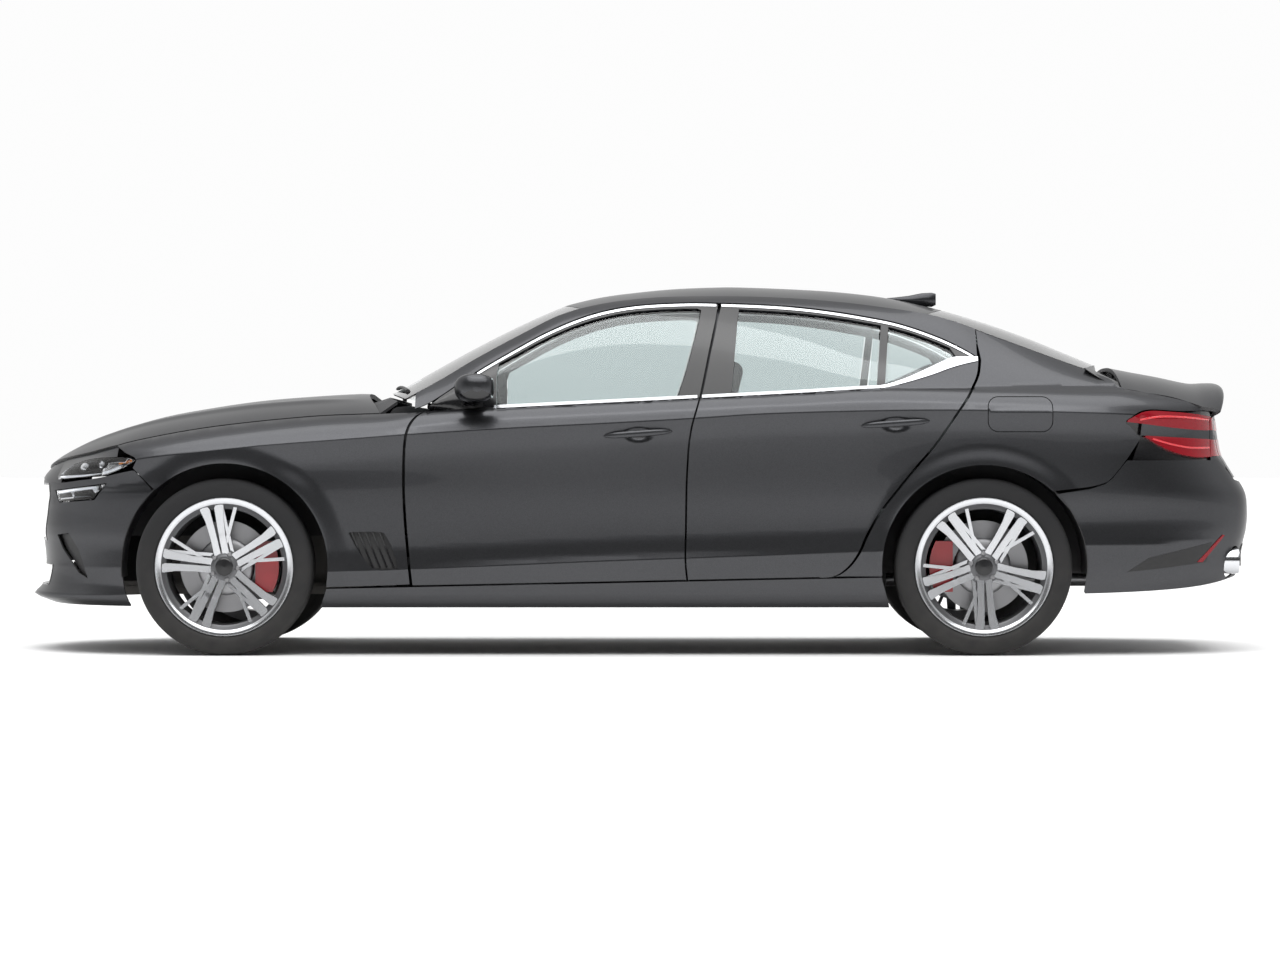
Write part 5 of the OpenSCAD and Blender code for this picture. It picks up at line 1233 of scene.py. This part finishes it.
# %% [markdown]
# What is left of the solid model keeps its shape and takes a finish: under coating on the floor, bare
# steel on the exhaust, iron on the axles and red on the calipers, whose edges are rounded off. Pipe tips,
# a roof fin and the wipers are added here.
# %% Finishes on the solid pieces
left = {"floor": chassis, "axles": iron, "engine": iron, "exhaust": steel, "rear_calipers": red,
        "caliper_left": red, "caliper_right": red, "knuckle_left": iron, "knuckle_right": iron,
        "side_frames": paint, "grille": black, "dashboard": trim, "steering_wheel": trim}
for name, mat in left.items():
    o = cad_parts[name]
    o.data.materials.clear()
    o.data.materials.append(mat)
    if "caliper" in name:
        b = o.modifiers.new("cast edge", "BEVEL")
        b.width, b.segments, b.limit_method = 0.009, 3, "ANGLE"
for s in (1, -1):
    pipe_tip = [(44, -2090), (48, -2095), (49.5, -2268), (48, -2277), (45, -2274), (44, -2262)]
    V, f = lathe(turned([(r, -x) for r, x in pipe_tip]), 64)
    add(f"tail_pipe_{s}", np.stack([-V[:, 2], V[:, 1] + pipe_y * s, V[:, 0] + 348], 1), f, chrome, "body")
fin_rows = [(-975, 1356, 4, 3), (-1010, 1352, 16, 10), (-1060, 1350, 22, 18), (-1110, 1352, 20, 26),
            (-1150, 1352, 13, 28), (-1166, 1354, 6, 22)]
fin = [ring((x, 0, z), Y, Z, a, b, 20, 2.2) for x, z, a, b in fin_rows]
loft("roof_fin", fin, paint, "body")
wipers = [[(930, 40, 1003), (905, 300, 1008), (870, 560, 992)],
          [(935, -620, 962), (920, -340, 992), (915, -60, 1006)]]
for i, pts in enumerate(wipers):
    loft(f"wiper_{i}", [ring(p, X, Z, 9, 5, 10, 3) for p in smooth(pts, 6)], black, "body")
print("plain finishes", len(left))

# %% [markdown]
# ## Studio
# A pale floor runs out to a pale backdrop. The room is dim on the camera's side, so the car's flanks read
# dark. A soft box above that side lights the shoulders, and a wide overhead light keeps the floor white.
# The camera stands where the photo was taken: twenty metres off the left side with a long lens.
# %% Floor, light and camera
me = bpy.data.meshes.new("floor")
floor_half = 90
corners = [(a * floor_half, b * floor_half, 0) for a, b in ((-1, -1), (1, -1), (1, 1), (-1, 1))]
me.from_pydata(corners, [], [(0, 1, 2, 3)])
me.materials.append(finish("pale floor", (0.88, 0.88, 0.88), rough=0.8))
ground = bpy.data.objects.new("stage floor", me)
bpy.context.scene.collection.objects.link(ground)
lamp = bpy.data.lights.new("soft box", "AREA")
lamp.shape, lamp.size, lamp.size_y, lamp.energy = "RECTANGLE", 9, 4, 300
soft = bpy.data.objects.new("soft box", lamp)
soft.location = (0, 4.5, 5.5)
soft.rotation_euler = (math.radians(-44), 0, 0)
bpy.context.scene.collection.objects.link(soft)
overhead = bpy.data.objects.new("overhead", bpy.data.lights.new("overhead", "SUN"))
overhead.data.energy, overhead.data.angle = 2.0, math.radians(60)
bpy.context.scene.collection.objects.link(overhead)
world = bpy.data.worlds.new("studio")
bpy.context.scene.world = world
world.use_nodes = True
t = world.node_tree
c, x, near, high, mixer = new_nodes(t, "TexCoord", "SeparateXYZ", "MapRange", "MapRange", "Math")
near.inputs["From Min"].default_value, near.inputs["From Max"].default_value = -0.3, 0.7
near.inputs["To Min"].default_value, near.inputs["To Max"].default_value = 0.98, 0.08
high.inputs["From Min"].default_value, high.inputs["From Max"].default_value = 0.4, 0.8
high.inputs["To Min"].default_value, high.inputs["To Max"].default_value = 0.0, 0.3
mixer.operation = "ADD"
wire(t, (c, "Generated", x, "Vector"), (x, "Y", near, "Value"), (x, "Z", high, "Value"),
     (near, "Result", mixer, 0), (high, "Result", mixer, 1), (mixer, "Value", t.nodes["Background"], "Color"))
photo_width_px, horizon_above_centre_px = 1280, 39
photo_eye = (-0.0116, 20.1, 0.801)
cam_data = bpy.data.cameras.new("photo")
cam_data.lens, cam_data.sensor_width = 144.8, 36
cam_data.shift_y = -horizon_above_centre_px / photo_width_px
cam_data.clip_end = 300
cam = bpy.data.objects.new("photo", cam_data)
cam.location = photo_eye
cam.rotation_euler = (math.radians(90), 0, math.radians(180))
bpy.context.scene.collection.objects.link(cam)
bpy.context.scene.camera = cam
bpy.context.scene.view_settings.view_transform = "Standard"
